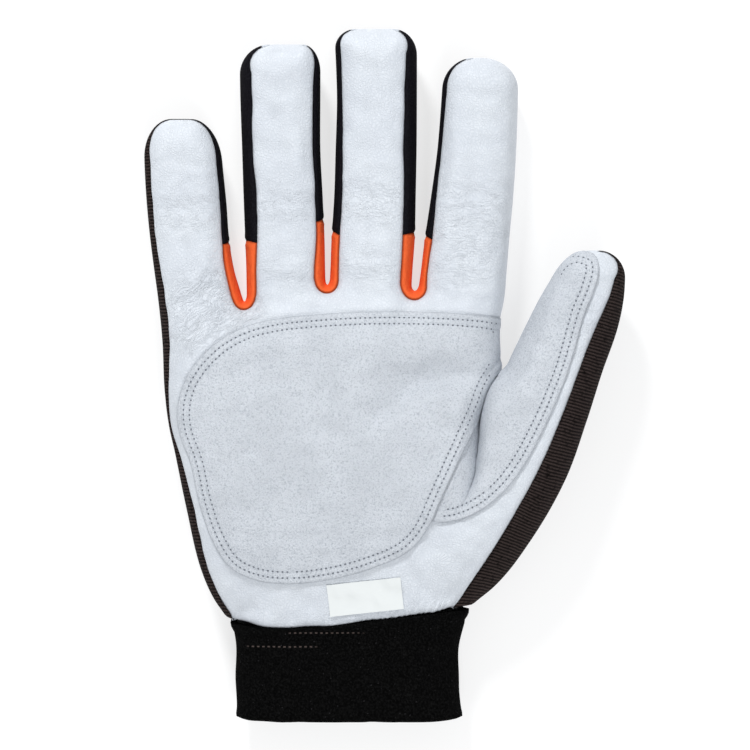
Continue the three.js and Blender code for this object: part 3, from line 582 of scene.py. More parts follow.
def relaxed(plan, rows, passes=60):
    """Evens out the first rows of a digit between its fixed sides, where a fork's arc bunches them."""
    plan = plan.copy()
    for _ in range(passes):
        plan[1:rows, 1:-1] = (plan[:rows - 1, 1:-1] + plan[2:rows + 1, 1:-1] + plan[1:rows, :-2] + plan[1:rows, 2:]) / 4
    return plan


def grid_quads(ids):
    """The four-cornered faces of a grid of point numbers."""
    return np.stack([ids[:-1, :-1], ids[:-1, 1:], ids[1:, 1:], ids[1:, :-1]], -1).reshape(-1, 4)


print("rows on a digit:", len(stations(FINENESS["fine"]["digit"])))

# %% [markdown]
# One class lays out all the grids, so that the same glove can be made fine for the picture and coarse for the
# cloth simulation. It first covers the palm and the back, then turns strips round the edges, closes the tips
# with caps, adds the cuff's ring, and at last gives the points that fall together one number.

# %% The skin, at any fineness
GUSSETS = {
    "gusset_little_ring": ("little_right", "ring_left"), "gusset_ring_middle": ("ring_right", "middle_left"),
    "gusset_middle_index": ("middle_right", "index_left")}
RELAXED_TO = 1.6


class Skin:
    """Grids of points over the whole glove that share their borders, each grid with its panel."""

    def __init__(self, fineness):
        chosen = FINENESS[fineness]
        self.columns = chosen["columns"]
        self.digit_rows = stations(chosen["digit"])
        self.palm_rows = palm_stations(chosen["palm"])
        self.low_rows = self.palm_rows[:chosen["palm"][0] + 1]
        self.high_rows = self.palm_rows[chosen["palm"][0]:]
        # A strip's lines from the front seam over the edge to the back seam, closest where the skin turns fastest
        quarter = np.linspace(1, 0, chosen["turns"] + 1) ** ROUNDNESS
        self.shares = [(1, q) for q in quarter] + [(-1, q) for q in quarter[::-1][1:]]
        self.grids = []
        for panel, side in (("palm_leather", 1), ("back_fabric", -1)):
            self.add_hand(panel, side)
            self.add_ball_of_thumb(panel, side)
            for name in DIGITS:
                self.add_digit(panel, side, name)
        self.add_strips()
        self.add_cap("back_fabric", "little")
        for name in ("ring", "middle", "index", "thumb"):
            self.add_cap("palm_leather", name)
        self.add_cuff(*CUFF_ROWS[fineness])
        self.merge()

    def add_grid(self, panel, points, flipped, kind, roll=1.0):
        self.grids.append(dict(panel=panel, points=points, flipped=flipped, kind=kind, roll=roll))

    def add_faces(self, panel, plan, side, known):
        """A grid over the palm or the back. known are distances to the outline that are exact, by column."""
        shape = plan.shape[:2]
        inset = distance_to(OUTLINE, plan.reshape(-1, 2)).reshape(shape)
        for column, exact in known.items():
            inset[:, column] = np.where(np.isnan(exact), inset[:, column], exact)
        z = skin(plan.reshape(-1, 2), side, inset.reshape(-1)).reshape(shape)
        self.add_grid(panel, np.dstack([plan, z]), side < 0, "front" if side > 0 else "back")

    def strip_line(self, edge, s, side, share):
        """One line along an edge, at a share of the way from it to the seam."""
        tilt = JOINT_TILT * (1 - share) * hump(s, 2, 0.3) * (np.abs(s - 2) < 0.9) * bool(edge["fork"])
        plan, inset = inset_line(edge, s + tilt, share, side)
        return np.column_stack([plan, skin(plan, side, inset)])

    def add_strip(self, panel, name, s):
        edge = EDGES[name]
        lines = [self.strip_line(edge, s, side, share) for side, share in self.shares]
        fade = 1 - (1 - TIP_ROLL["left_over"]) * smoothstep(TIP_ROLL["fades_from"], TIP_ROLL["fades_to"], s)
        roll = np.repeat(fade[:, None], len(lines), 1)
        self.add_grid(panel, np.stack(lines, 1), edge["inward"] > 0, "strip_" + name, roll)

    def add_cap(self, panel, digit):
        """A grid over a fingertip's end, between the last lines of its two strips."""
        ends = [np.concatenate([self.strip_line(EDGES[f"{digit}_{side_name}"], np.array([4.0]), side, share)
                                for side, share in self.shares]) for side_name in ("left", "right")]
        plan = across(ends[0][:, :2], ends[1][:, :2], self.columns)
        t = (np.arange(self.columns + 1) / self.columns)[None, :]
        points = np.dstack([plan, mix(ends[0][:, 2:], ends[1][:, 2:], t)])
        for row, side in ((0, 1), (-1, -1)):
            points[row, 1:-1, 2] = skin(points[row, :, :2], side)[1:-1]
        self.add_grid(panel, points, False, "cap_" + digit, np.full(points.shape[:2], TIP_ROLL["left_over"]))

    def add_hand(self, panel, side):
        """The palm or the back up to the crotches, in four parts side by side."""
        rows, columns = self.palm_rows, self.columns
        left, left_inset = inset_line(EDGES["little_left"], on_little(rows), 1, side)
        right, right_inset = np.empty_like(left), np.full(len(rows), np.nan)
        low, high = rows < NOTCH_FROM, rows >= NOTCH_FROM
        right[low] = crease_line(rows[low], side)
        right[high], right_inset[high] = inset_line(EDGES["index_right"], on_index(rows[high]), 1, side)
        marks = [left] + [palm_line(k, rows, side) for k in range(3)] + [right]
        parts = [across(a, b, columns)[:, (k > 0):] for k, (a, b) in enumerate(zip(marks, marks[1:]))]
        known = {0: left_inset, -1: right_inset}
        for k, name in enumerate(PALM_FORKS):
            at_fork = np.full(len(rows), np.nan)
            at_fork[-1] = inset_line(EDGES[name], 0.0, 1, side)[1][0]
            known[(k + 1) * columns] = at_fork
        self.add_faces(panel, np.concatenate(parts, 1), side, known)

    def add_ball_of_thumb(self, panel, side):
        left, left_inset = crease_line(self.low_rows, side), np.full(len(self.low_rows), np.nan)
        left_inset[-1] = inset_line(EDGES["thumb_left"], 0.0, 1, side)[1][0]
        right, right_inset = inset_line(EDGES["thumb_right"], on_thumb(self.low_rows), 1, side)
        self.add_faces(panel, across(left, right, self.columns), side, {0: left_inset, -1: right_inset})

    def add_digit(self, panel, side, name):
        left, left_inset = inset_line(EDGES[name + "_left"], self.digit_rows, 1, side)
        right, right_inset = inset_line(EDGES[name + "_right"], self.digit_rows, 1, side)
        plan = relaxed(across(left, right, self.columns), int(np.sum(self.digit_rows < RELAXED_TO)))
        self.add_faces(panel, plan, side, {0: left_inset, -1: right_inset})

    def add_strips(self):
        """The strips over the edges: the back's on the outer edges, leather by the thumb, and the fingers' sides."""
        above = self.digit_rows[1:]
        self.add_strip("back_fabric", "little_left", np.concatenate([on_little(self.palm_rows), above]))
        self.add_strip("back_fabric", "thumb_right", np.concatenate([on_thumb(self.low_rows), above]))
        self.add_strip("palm_leather", "index_right", np.concatenate([on_index(self.high_rows), above]))
        self.add_strip("palm_leather", "thumb_left", self.digit_rows)
        for gusset, sides in GUSSETS.items():
            for name in sides:
                self.add_strip(gusset, name, self.digit_rows[self.digit_rows <= 2])
                self.add_strip("fourchette_" + name, name, self.digit_rows[self.digit_rows >= 2])

    def add_cuff(self, columns, up):
        """One closed ring of columns, from the cuff's open end up to both seams."""
        u = np.linspace(0, 1, columns + 1)
        flat_left, flat_right = CUFF_SIDES["left"](CUFF_BOTTOM), CUFF_SIDES["right"](CUFF_BOTTOM)
        stops = [(u, 1, 1.0)] + [(np.ones(1), side, share) for side, share in self.shares[1:]]
        stops += [(u[::-1][1:], -1, 1.0)] + [(np.zeros(1), side, share) for side, share in self.shares[::-1][1:]]
        rows = []
        for height in np.linspace(0, 1, up + 1):
            line = []
            for at, side, share in stops:
                inset = CUFF_STRIP * share
                x = mix(flat_left + CUFF_CORNER + inset, flat_right - CUFF_CORNER - inset, at)
                top = SEAM_LINE["front" if side > 0 else "back"](x) - SEAM_HALF
                y = mix(CUFF_BOTTOM, top, height)
                lowest = np.clip((CUFF_BOTTOM + CUFF_CORNER - y) / CUFF_CORNER, 0, 1)
                tuck = CUFF_CORNER * (1 - np.sqrt(1 - lowest ** 2))
                left, right = CUFF_SIDES["left"](y) + tuck, CUFF_SIDES["right"](y) - tuck
                x = mix(left + inset, right - inset, at)
                plan = np.stack([x, y], -1)
                line.append(np.column_stack([plan, skin(plan, side, np.minimum(x - left, right - x))]))
            rows.append(np.concatenate(line))
        self.add_grid("cuff", np.stack(rows), False, "cuff")

    def merge(self):
        """Gives points that fall together one number, and every panel its faces."""
        points = np.concatenate([grid["points"].reshape(-1, 3) for grid in self.grids])
        keys = np.floor(points * round(1 / MERGE_STEP) + MERGE_SHIFT).astype(np.int64)
        _, first, number = np.unique(keys, axis=0, return_index=True, return_inverse=True)
        self.corners, number = points[first], number.reshape(-1)
        self.roll = np.ones(len(first))
        self.panels, start = {}, 0
        for grid in self.grids:
            rows, columns = grid["points"].shape[:2]
            ids = number[start:start + rows * columns].reshape(rows, columns)
            start += rows * columns
            quads = grid_quads(ids)
            grid["quads"] = quads[:, ::-1] if grid["flipped"] else quads
            np.minimum.at(self.roll, ids, grid["roll"])
            self.panels.setdefault(grid["panel"], []).append(grid["quads"])
        self.panels = {name: np.concatenate(quads) for name, quads in self.panels.items()}
        self.quads = np.concatenate(list(self.panels.values()))


fine = Skin("fine")
print("corners:", len(fine.corners), "faces:", len(fine.quads))

# %% Normals, borders and distances
def corner_normals(points, quads):
    normals = np.zeros_like(points)
    each = np.cross(points[quads[:, 2]] - points[quads[:, 0]], points[quads[:, 3]] - points[quads[:, 1]])
    for k in range(4):
        np.add.at(normals, quads[:, k], each)
    return normals / np.maximum(np.linalg.norm(normals, axis=1, keepdims=True), 1e-12)


def border_of(quads):
    """The edges of some faces that no neighbour shares, each in its own face's direction."""
    starts, ends = quads.reshape(-1), np.roll(quads, -1, 1).reshape(-1)
    size = int(quads.max()) + 1
    alone = ~np.isin(starts.astype(np.int64) * size + ends, ends.astype(np.int64) * size + starts)
    return np.stack([starts[alone], ends[alone]], -1)


def read_points(piece, what="co"):
    """The places of a piece's points in metres, or their normals, as an array."""
    flat = np.empty(len(piece.data.vertices) * 3)
    piece.data.vertices.foreach_get(what, flat)
    return flat.reshape(-1, 3)


def tree_of(points):
    tree = KDTree(len(points))
    for i, p in enumerate(points):
        tree.insert(p, i)
    tree.balance()
    return tree


def distance_to_border(points, border):
    """How far each point is from the nearest border edge."""
    tree = tree_of(np.concatenate([mix(points[border[:, 0]], points[border[:, 1]], t) for t in (0, 0.33, 0.67)]))
    return np.array([tree.find(p)[2] for p in points])


print("seam edges:", sum(len(border_of(quads)) for quads in fine.panels.values()))

# %% [markdown]
# Real padding swells between its seams and buckles a little where it has nowhere to go. A cloth simulation
# finds that shape: the same skin at a coarser fineness is pinned along its seams, its cloth is cut a little
# too large, and air pressure blows it out. Level faces are held back in part, and the sides and the points on
# the floor almost wholly. The small moves it makes are then carried over to the fine skin, and no point may move more
# than a cap.

# %% Swell the padding
# scale: the cloth solver works best on things of furniture size. floor_hold: for points that rest on the floor
SWELL = dict(
    frames=20, pressure=8.0, extra=0.06, bending=5.0, stretching=15.0, scale=10.0, hold=0.4, rim_hold=0.95,
    floor_hold=0.9, smooth=2, cap=1.4, carry=5)


def swell(coarse, stiff_at):
    """How far each corner of the coarse skin moves as cloth, in mm."""
    held = np.zeros(len(coarse.corners))
    for quads in coarse.panels.values():
        held[np.unique(border_of(quads))] = 1.0
    held = np.maximum(held, stiff_at)
    mesh = bpy.data.meshes.new("swelling")
    mesh.from_pydata((coarse.corners * MM * SWELL["scale"]).tolist(), [], coarse.quads.tolist())
    cloth = put_in_scene("swelling", mesh)
    group = cloth.vertex_groups.new(name="held")
    for i in np.nonzero(held)[0]:
        group.add([int(i)], float(held[i]), "REPLACE")
    settings = cloth.modifiers.new("swell", "CLOTH").settings
    settings.quality = 6
    settings.effector_weights.gravity = 0.0
    settings.use_pressure = True
    settings.uniform_pressure_force = SWELL["pressure"]
    settings.shrink_min = -SWELL["extra"]
    settings.vertex_group_mass = "held"
    settings.bending_stiffness = SWELL["bending"]
    settings.tension_stiffness = settings.compression_stiffness = SWELL["stretching"]
    for step in range(1, SWELL["frames"] + 1):
        bpy.context.scene.frame_set(step)
    moved = read_points(cloth.evaluated_get(bpy.context.evaluated_depsgraph_get()))
    bpy.data.objects.remove(cloth)
    bpy.context.scene.frame_set(1)
    moves = moved / MM / SWELL["scale"] - coarse.corners
    ends = np.concatenate([coarse.quads[:, [k, (k + 1) % 4]] for k in range(4)])
    for _ in range(SWELL["smooth"]):
        total, count = moves.copy(), np.ones((len(moves), 1))
        np.add.at(total, ends[:, 0], moves[ends[:, 1]])
        np.add.at(count, ends[:, 0], 1)
        moves = total / count
    return moves


def carry_over(coarse, moves, points):
    """The moves of the coarse skin, blended onto other points that lie on it."""
    tree = tree_of(coarse.corners)
    carried = np.zeros_like(points)
    for i, p in enumerate(points):
        near = tree.find_n(p, SWELL["carry"])
        weights = np.array([1 / (n[2] + 0.3) ** 2 for n in near])
        carried[i] = (moves[[n[1] for n in near]] * weights[:, None]).sum(0) / weights.sum()
    return carried


def limited(moves, cap):
    length = np.maximum(np.linalg.norm(moves, axis=1, keepdims=True), 1e-9)
    return moves * np.minimum(1, cap / length)


corners = fine.corners.copy()
coarse = Skin("simulated")
facing = smoothstep(0.25, 0.8, np.abs(corner_normals(coarse.corners, coarse.quads)[:, 2]))
on_floor = coarse.corners[:, 2] < 1.0
hold = np.where(on_floor, SWELL["floor_hold"], mix(SWELL["rim_hold"], SWELL["hold"], facing))
moves = swell(coarse, hold) * facing[:, None]
lengths = np.linalg.norm(moves, axis=1)
print("simulated corners:", len(moves), "largest and mean move:", lengths.max().round(2), lengths.mean().round(2))
corners += limited(carry_over(coarse, moves, fine.corners), SWELL["cap"])
corners[:, 2] = np.maximum(corners[:, 2], 0)
palm_side = corner_normals(corners, fine.quads)[:, 2] > 0.05
corners[palm_side, 2] -= thumb_fold(corners[palm_side]) + dented(corners[palm_side], DENTS)
outward = corner_normals(corners, fine.quads)
print("highest point in mm:", corners[:, 2].max().round(1))

# %% [markdown]
# Each panel becomes a closed padded sheet: the skin outside, the lining a wall's thickness inside, and
# a narrow wall along each seam. Near a seam the panel rolls down into the groove and stands up a little
# beside it, as padding does next to a row of stitches. An array of distances to the seam shapes that roll.

# %% From skin faces to a padded sheet
WALLS = {"palm": 2.2, "back": 2.2, "gusset": 2.0, "fourchette": 2.0, "cuff": 2.4}
PULL = 0.02
LOWEST = 0.02


def seam_roll(distance, groove=0.75, stand=0.22, width=1.5):
    """How far a panel stands above its smooth skin near its seams, in mm."""
    return stand * hump(distance, 1.5 * width, width) - groove * hump(distance, 0, 0.55 * width)


def closed_sheet(points, normals, quads, border, thickness, name):
    """A closed mesh with the lining's faces in material slot 1."""
    count = len(points)
    both = np.concatenate([points, points - normals * thickness])
    walls = np.stack([border[:, 0], border[:, 0] + count, border[:, 1] + count, border[:, 1]], -1)
    faces = np.concatenate([quads, quads[:, ::-1] + count, walls])
    mesh = bpy.data.meshes.new(name)
    mesh.vertices.add(len(both))
    mesh.vertices.foreach_set("co", (both * MM).astype(np.float32).ravel())
    mesh.loops.add(faces.size)
    mesh.loops.foreach_set("vertex_index", faces.astype(np.int32).ravel())
    mesh.polygons.add(len(faces))
    mesh.polygons.foreach_set("loop_start", (np.arange(len(faces)) * 4).astype(np.int32))
    lining = np.zeros(len(faces), np.int32)
    lining[len(quads):2 * len(quads)] = 1
    mesh.polygons.foreach_set("material_index", lining)
    mesh.polygons.foreach_set("use_smooth", np.ones(len(faces), bool))
    mesh.update()
    mesh.validate()
    return put_in_scene(name + "_sewn", mesh)


def draw_back(points, normals, border):
    """Moves the border a little into the panel, so that neighbours stay apart."""
    along = points[border[:, 1]] - points[border[:, 0]]
    along /= np.maximum(np.linalg.norm(along, axis=1, keepdims=True), 1e-9)
    moved = points.copy()
    push = np.zeros_like(points)
    for k in range(2):
        np.add.at(push, border[:, k], np.cross(normals[border[:, k]], along))
    ends = np.unique(border)
    length = np.maximum(np.linalg.norm(push[ends], axis=1, keepdims=True), 1e-9)
    moved[ends] += push[ends] / length * PULL
    return moved


def give_number(piece, name, values):
    """Stores one number on each point of a piece, for its finish to read."""
    piece.data.attributes.new(name, "FLOAT", "POINT").data.foreach_set("value", np.asarray(values, np.float32))


def padded_panel(name, quads, raise_by):
    used, local = np.unique(quads, return_inverse=True)
    local = local.reshape(quads.shape)
    points, normals = corners[used], outward[used]
    border = border_of(local)
    distance = distance_to_border(points, border)
    lifted = points + normals * raise_by(points, normals, distance, fine.roll[used])[:, None]
    lifted[:, 2] = np.maximum(lifted[:, 2], LOWEST)  # flat where it rests on the floor
    lifted = draw_back(lifted, normals, border)
    piece = closed_sheet(lifted, normals, local, border, WALLS[name.split("_")[0]], name)
    give_number(piece, "from_seam", np.concatenate([distance, distance]))
    print(f"{name}: {len(piece.data.polygons)} faces")
    return piece


print("wall thickness in mm:", WALLS)

# %% Make the sewn panels
def leather_relief(points, normals, distance, roll):
    folds = fold_depth(points[:, :2]) * np.clip(normals[:, 2], 0, 1)
    return seam_roll(distance) * roll - folds


def cloth_relief(points, normals, distance, roll):
    return seam_roll(distance, groove=0.6, stand=0.12) * roll


def strip_relief(points, normals, distance, roll):
    return seam_roll(distance, groove=0.35, stand=0.12, width=1.0) * roll


pieces = {}
for name, quads in fine.panels.items():
    if name != "cuff":
        relief = {"palm": leather_relief, "back": cloth_relief}.get(name.split("_")[0], strip_relief)
        pieces[name] = padded_panel(name, quads, relief)

# %% [markdown]
# The cuff is a soft knit tube. Its top is rolled into a narrow fuzzy band below the leather, and its open end
# is hemmed. It comes from the same skin, so it needs only its own relief: the rolled band, a shallow
# groove under it, the hem, and a slow unevenness that keeps the knit from looking like sheet metal.

# %% The cuff
CUFF_BAND = dict(width=3.4, proud=0.55, groove=0.35, sunk=0.15)
HEM = dict(proud=0.25, above=2.2, wide=1.6, rounded=0.5, rim=0.8)


def cuff_relief(points, normals, distance, roll):
    x, y = points[:, 0], points[:, 1]
    below_top = np.where(normals[:, 2] > 0, SEAM_LINE["front"](x), SEAM_LINE["back"](x)) - y
    across_band = np.clip(below_top / CUFF_BAND["width"], 0, 1)
    band = CUFF_BAND["proud"] * np.sqrt(np.clip(1 - (2 * across_band - 1) ** 2, 0, 1))
    groove = CUFF_BAND["groove"] * hump(below_top, CUFF_BAND["width"] + 0.3, 0.7)
    above_end = y - CUFF_BOTTOM
    hem = HEM["proud"] * hump(above_end, HEM["above"], HEM["wide"]) - HEM["rounded"] * hump(above_end, 0, HEM["rim"])
    slow = 0.22 * np.sin(x * 0.21 + y * 0.11) * np.sin(y * 0.19 - x * 0.05) + 0.12 * np.sin(x * 0.47 - y * 0.3)
    return band - groove + hem + slow - CUFF_BAND["sunk"]


pieces["cuff"] = padded_panel("cuff", fine.panels["cuff"], cuff_relief)

# %% [markdown]
# The two suede patches are flat leather glued and double stitched onto the palm. Each has its own smooth outline
# in plan and follows the glove's skin, even round the side of the thumb's notch. The quickest exact way is to
# cut the skin's own faces along the outline: a face wholly inside stays, and a crossed one is trimmed.

# %% Outlines of the patches
PATCHES = {
    "palm_patch": dict(lowest=9.0, outline=[
        (-34.5, -75.0), (-46, -73.6), (-55, -69), (-61.5, -59), (-66, -46), (-69, -32), (-73.2, -20), (-73.6, -11),
        (-70.5, -1), (-62, 9.5), (-52, 16), (-40, 19.6), (-24, 21.4), (-5, 22.4), (16, 22.3), (32, 21.4), (39, 20.6),
        (43.4, 19.6), (43.4, 12), (43.4, 5), (40.9, 0.4), (37.7, -5), (34.6, -13), (29.9, -23.4), (25.7, -32.8),
        (20.2, -45), (15.2, -56), (8.5, -63.5), (-6, -70), (-20, -73.6)]),
    "thumb_patch": dict(lowest=17.0, outline=[
        (18.5, -52.7), (14.6, -50.6), (18.0, -43.5), (23.0, -32.8), (27.3, -23.4), (31.8, -13), (35.2, -5), (39.4, 0.9),
        (43.2, 5.4), (47.5, 14), (53, 25), (58, 35), (62, 41.5), (67.5, 44.5), (72.5, 43.9), (76, 41.6), (76.8, 37),
        (75.0, 30), (71.4, 21), (68.6, 11), (65.6, 1), (60.4, -12), (55.4, -22.5), (50.2, -32), (43.5, -41),
        (35, -48.2), (26, -52.2)]),
}


def closed_curve(points, steps=12):
    """A smooth closed curve through plan points, as a fine ring."""
    p = np.array(points, float)
    before, after, beyond = np.roll(p, 1, 0), np.roll(p, -1, 0), np.roll(p, -2, 0)
    gap = [np.sqrt(np.linalg.norm(b - a, axis=1))[:, None] for a, b in ((before, p), (p, after), (after, beyond))]
    leave = ((p - before) / gap[0] - (after - before) / (gap[0] + gap[1]) + (after - p) / gap[1]) * gap[1]
    arrive = ((after - p) / gap[1] - (beyond - p) / (gap[1] + gap[2]) + (beyond - after) / gap[2]) * gap[1]
    ring = []
    for t in np.arange(steps) / steps:
        rise = t * t * (3 - 2 * t)
        ring.append(mix(p, after, rise) + leave * t * (1 - t) ** 2 - arrive * t * t * (1 - t))
    return np.stack(ring, 1).reshape(-1, 2)


def outside_by(ring, plan):
    """How far plan points lie outside a ring, and below 0 inside it, in mm."""
    inside = np.zeros(len(plan), bool)
    for (ax, ay), (bx, by) in zip(ring, np.roll(ring, -1, 0)):
        if ay != by:
            crosses = ((ay > plan[:, 1]) != (by > plan[:, 1]))
            inside ^= crosses & (plan[:, 0] < ax + (plan[:, 1] - ay) * (bx - ax) / (by - ay))
    return np.where(inside, -1.0, 1.0) * distance_to(ring, plan, closed=True)


for name, patch in PATCHES.items():
    patch["ring"] = closed_curve(patch["outline"])
    print(name, "outline in mm:", round(float(np.linalg.norm(np.diff(patch["ring"], axis=0), axis=1).sum())))

# %% Cut the skin along an outline
UNDER_PATCHES = ("front", "strip_index_right", "strip_thumb_left")
PALM_SIDE = np.concatenate([grid["quads"] for grid in fine.grids if grid["kind"] in UNDER_PATCHES])
FAR_OUTSIDE = 9.0


def cut_skin(ring, lowest):
    """The palm side's faces inside a plan ring and above a height: points, normals, faces."""
    used = np.unique(PALM_SIDE)
    near = used[(corners[used, :2] > ring.min(0) - 4).all(1) & (corners[used, :2] < ring.max(0) + 4).all(1)]
    field = np.full(len(corners), FAR_OUTSIDE)
    field[near] = np.maximum(outside_by(ring, corners[near, :2]), lowest - corners[near, 2])
    points, normals = list(corners), list(outward)
    trimmed = {}

    def crossing(a, b):
        key = (min(a, b), max(a, b))
        if key not in trimmed:
            t = field[a] / (field[a] - field[b])
            trimmed[key] = len(points)
            points.append(mix(corners[a], corners[b], t))
            normals.append(mix(outward[a], outward[b], t))
        return trimmed[key]

    inside = field[PALM_SIDE] < 0
    faces = [tuple(quad) for quad in PALM_SIDE[inside.all(1)]]
    crossed = inside.any(1) & ~inside.all(1)
    for quad, keep in zip(PALM_SIDE[crossed], inside[crossed]):
        face = []
        for k in range(4):
            a, b = quad[k], quad[(k + 1) % 4]
            if keep[k]:
                face.append(a)
            if keep[k] != keep[(k + 1) % 4]:
                face.append(crossing(a, b))
        faces.append(tuple(face))
    ids = sorted({i for face in faces for i in face})
    place = {i: k for k, i in enumerate(ids)}
    faces = [[place[i] for i in face] for face in faces]
    normals = np.array([normals[i] for i in ids])
    return np.array([points[i] for i in ids]), normals / np.linalg.norm(normals, axis=1, keepdims=True), faces


def face_border(faces):
    """The edges of some faces of any number of corners that no neighbour shares."""
    edges = {(face[k], face[(k + 1) % len(face)]) for face in faces for k in range(len(face))}
    return np.array([(a, b) for a, b in edges if (b, a) not in edges])


def solid_sheet(name, top, bottom, faces, border):
    """A closed thin sheet with sharp rims."""
    count = len(top)
    walls = [(a, a + count, b + count, b) for a, b in border]
    upper = [list(map(int, face)) for face in faces]
    under = [[i + count for i in reversed(face)] for face in faces]
    mesh = bpy.data.meshes.new(name)
    mesh.from_pydata((np.concatenate([top, bottom]) * MM).tolist(), [], upper + under + walls)
    mesh.polygons.foreach_set("use_smooth", np.ones(len(mesh.polygons), bool))
    wall_edges = {tuple(sorted(e)) for a, b in border for e in ((a, b), (a + count, b + count))}
    for edge in mesh.edges:
        if tuple(sorted(edge.vertices)) in wall_edges:
            edge.use_edge_sharp = True
    return put_in_scene(name + "_sewn", mesh)


print("palm side faces:", len(PALM_SIDE))

# %% Lay the patches on the palm
# clear: the gap below. thick: the hide. under: what is left of the thumb's patch where the palm's lies on it, with
# a gap of over between them. drawn, groove: how far and how wide the stitches draw the hide down
SUEDE = dict(
    clear=0.14, thick=0.9, rim=0.25, rounded=0.4, under=0.6, over=0.12, drawn=0.10, groove=0.45, crown=0.2,
    uneven=0.10, thin=0.3)
ROWS = {"palm_patch": (2.1, 4.3), "thumb_patch": (2.3, 4.6)}
GROOVES = ROWS["palm_patch"]


def patch_layers(name, points, distance):
    """The bottom and the top of a patch above the skin: rolled at the rim, drawn down by each row of stitches."""
    other = PATCHES["thumb_patch" if name == "palm_patch" else "palm_patch"]["ring"]
    over = 1 - smoothstep(-0.2, 1.6, outside_by(other, points[:, :2]))
    bottom = SUEDE["clear"] + (SUEDE["under"] + SUEDE["over"]) * over * (name == "palm_patch")
    thick = mix(SUEDE["thick"], SUEDE["under"] - SUEDE["clear"], over * (name == "thumb_patch"))
    rim = SUEDE["rim"] * (1 - turn(distance / SUEDE["rounded"]))
    rows = sum(SUEDE["drawn"] * hump(distance, row, SUEDE["groove"]) for row in GROOVES)
    swell_up = SUEDE["crown"] * smoothstep(4.5, 9, distance)
    x, y = points[:, 0], points[:, 1]
    uneven = SUEDE["uneven"] * np.sin(x * 0.23 + 1.3 * np.sin(y * 0.11)) * np.sin(y * 0.19 + x * 0.07)
    relief = (swell_up - rim - rows + uneven * smoothstep(3, 8, distance)) * (1 - over * (name == "thumb_patch"))
    return bottom, bottom + thick + relief


patch_surface = {}
for name, patch in PATCHES.items():
    points, normals, faces = cut_skin(patch["ring"], patch["lowest"])
    border = face_border(faces)
    distance = distance_to_border(points, border)
    low, high = patch_layers(name, points, distance)
    # The rim is thin where the patch goes down a side, and level parts rise more nearly straight up
    whole = np.maximum(smoothstep(0.1, 0.7, normals[:, 2]), smoothstep(0.2, 2.5, distance))
    high = mix(low + SUEDE["thin"], high, whole)
    upright = smoothstep(0.35, 0.85, normals[:, 2])[:, None]
    lift = normals * (1 - 0.6 * upright) + np.array([0, 0, 0.6]) * upright
    lift /= np.linalg.norm(lift, axis=1, keepdims=True)
    top = points + lift * high[:, None]
    pieces[name] = solid_sheet(name, top, points + lift * low[:, None], faces, border)
    give_number(pieces[name], "from_edge", np.concatenate([distance, np.zeros(len(points))]))
    patch_surface[name] = BVHTree.FromPolygons(top.tolist(), faces)
    print(name, len(faces), "faces, box in mm", np.round(top.min(0), 1), np.round(top.max(0), 1))

# %% [markdown]
# A plain size sticker lies on the leather above the cuff. It is a thin rectangle, turned a little, so a small grid
# of its own laid on the skin gives it crisp corners. It stays blank.

# %% The blank sticker
LABEL = dict(
    x=-6.6, y=-79.8, width=26.6, height=11.6, turned=math.radians(6.3), thick=0.3, clear=0.2, curl=0.5, stiff=12,
    points=(55, 25))
ABOVE_ALL = 80.0


def blank_sticker():
    u, v = np.meshgrid(*(np.linspace(-0.5, 0.5, count) for count in LABEL["points"]))
    dx, dy = u.ravel() * LABEL["width"], v.ravel() * LABEL["height"]
    cos, sin = math.cos(LABEL["turned"]), math.sin(LABEL["turned"])
    plan = np.stack([LABEL["x"] + dx * cos - dy * sin, LABEL["y"] + dx * sin + dy * cos], -1)
    quads = grid_quads(np.arange(plan.shape[0]).reshape(u.shape))
    leather = pieces["palm_leather"].data
    below = BVHTree.FromPolygons([v.co / MM for v in leather.vertices], [p.vertices for p in leather.polygons])
    height = np.array([below.ray_cast((x, y, ABOVE_ALL), (0, 0, -1))[0].z for x, y in plan]).reshape(u.shape)
    # Stiff paper bridges the small hollows
    eased = height.copy()
    for _ in range(LABEL["stiff"]):
        padded = np.pad(eased, 1, mode="edge")
        eased = (padded[:-2, 1:-1] + padded[2:, 1:-1] + padded[1:-1, :-2] + padded[1:-1, 2:]) / 4
        eased = np.maximum(eased, height)
    points = np.column_stack([plan, eased.ravel()])
    normals = corner_normals(points, quads)
    curl = LABEL["curl"] * np.clip(np.abs(2 * u.ravel()) - 0.85, 0, 1)
    base = points + normals * (LABEL["clear"] + curl)[:, None]
    return solid_sheet("size_label", base + normals * LABEL["thick"], base, quads.tolist(), face_border(quads.tolist()))


pieces["size_label"] = blank_sticker()
print("sticker:", LABEL["width"], "by", LABEL["height"], "mm")

# %% [markdown]
# Both patches are sewn down with two rows of thin thread, about fourteen stitches in 25 mm. Each stitch is a
# short thread between two dark needle holes. A Geometry Nodes tree sets one small bead on each point of a
# row, stretched along the row: a long pale bead is a stitch, and a small flat dark one is the painted shade of a hole.

# %% The stitching tree
PITCH = 1.75


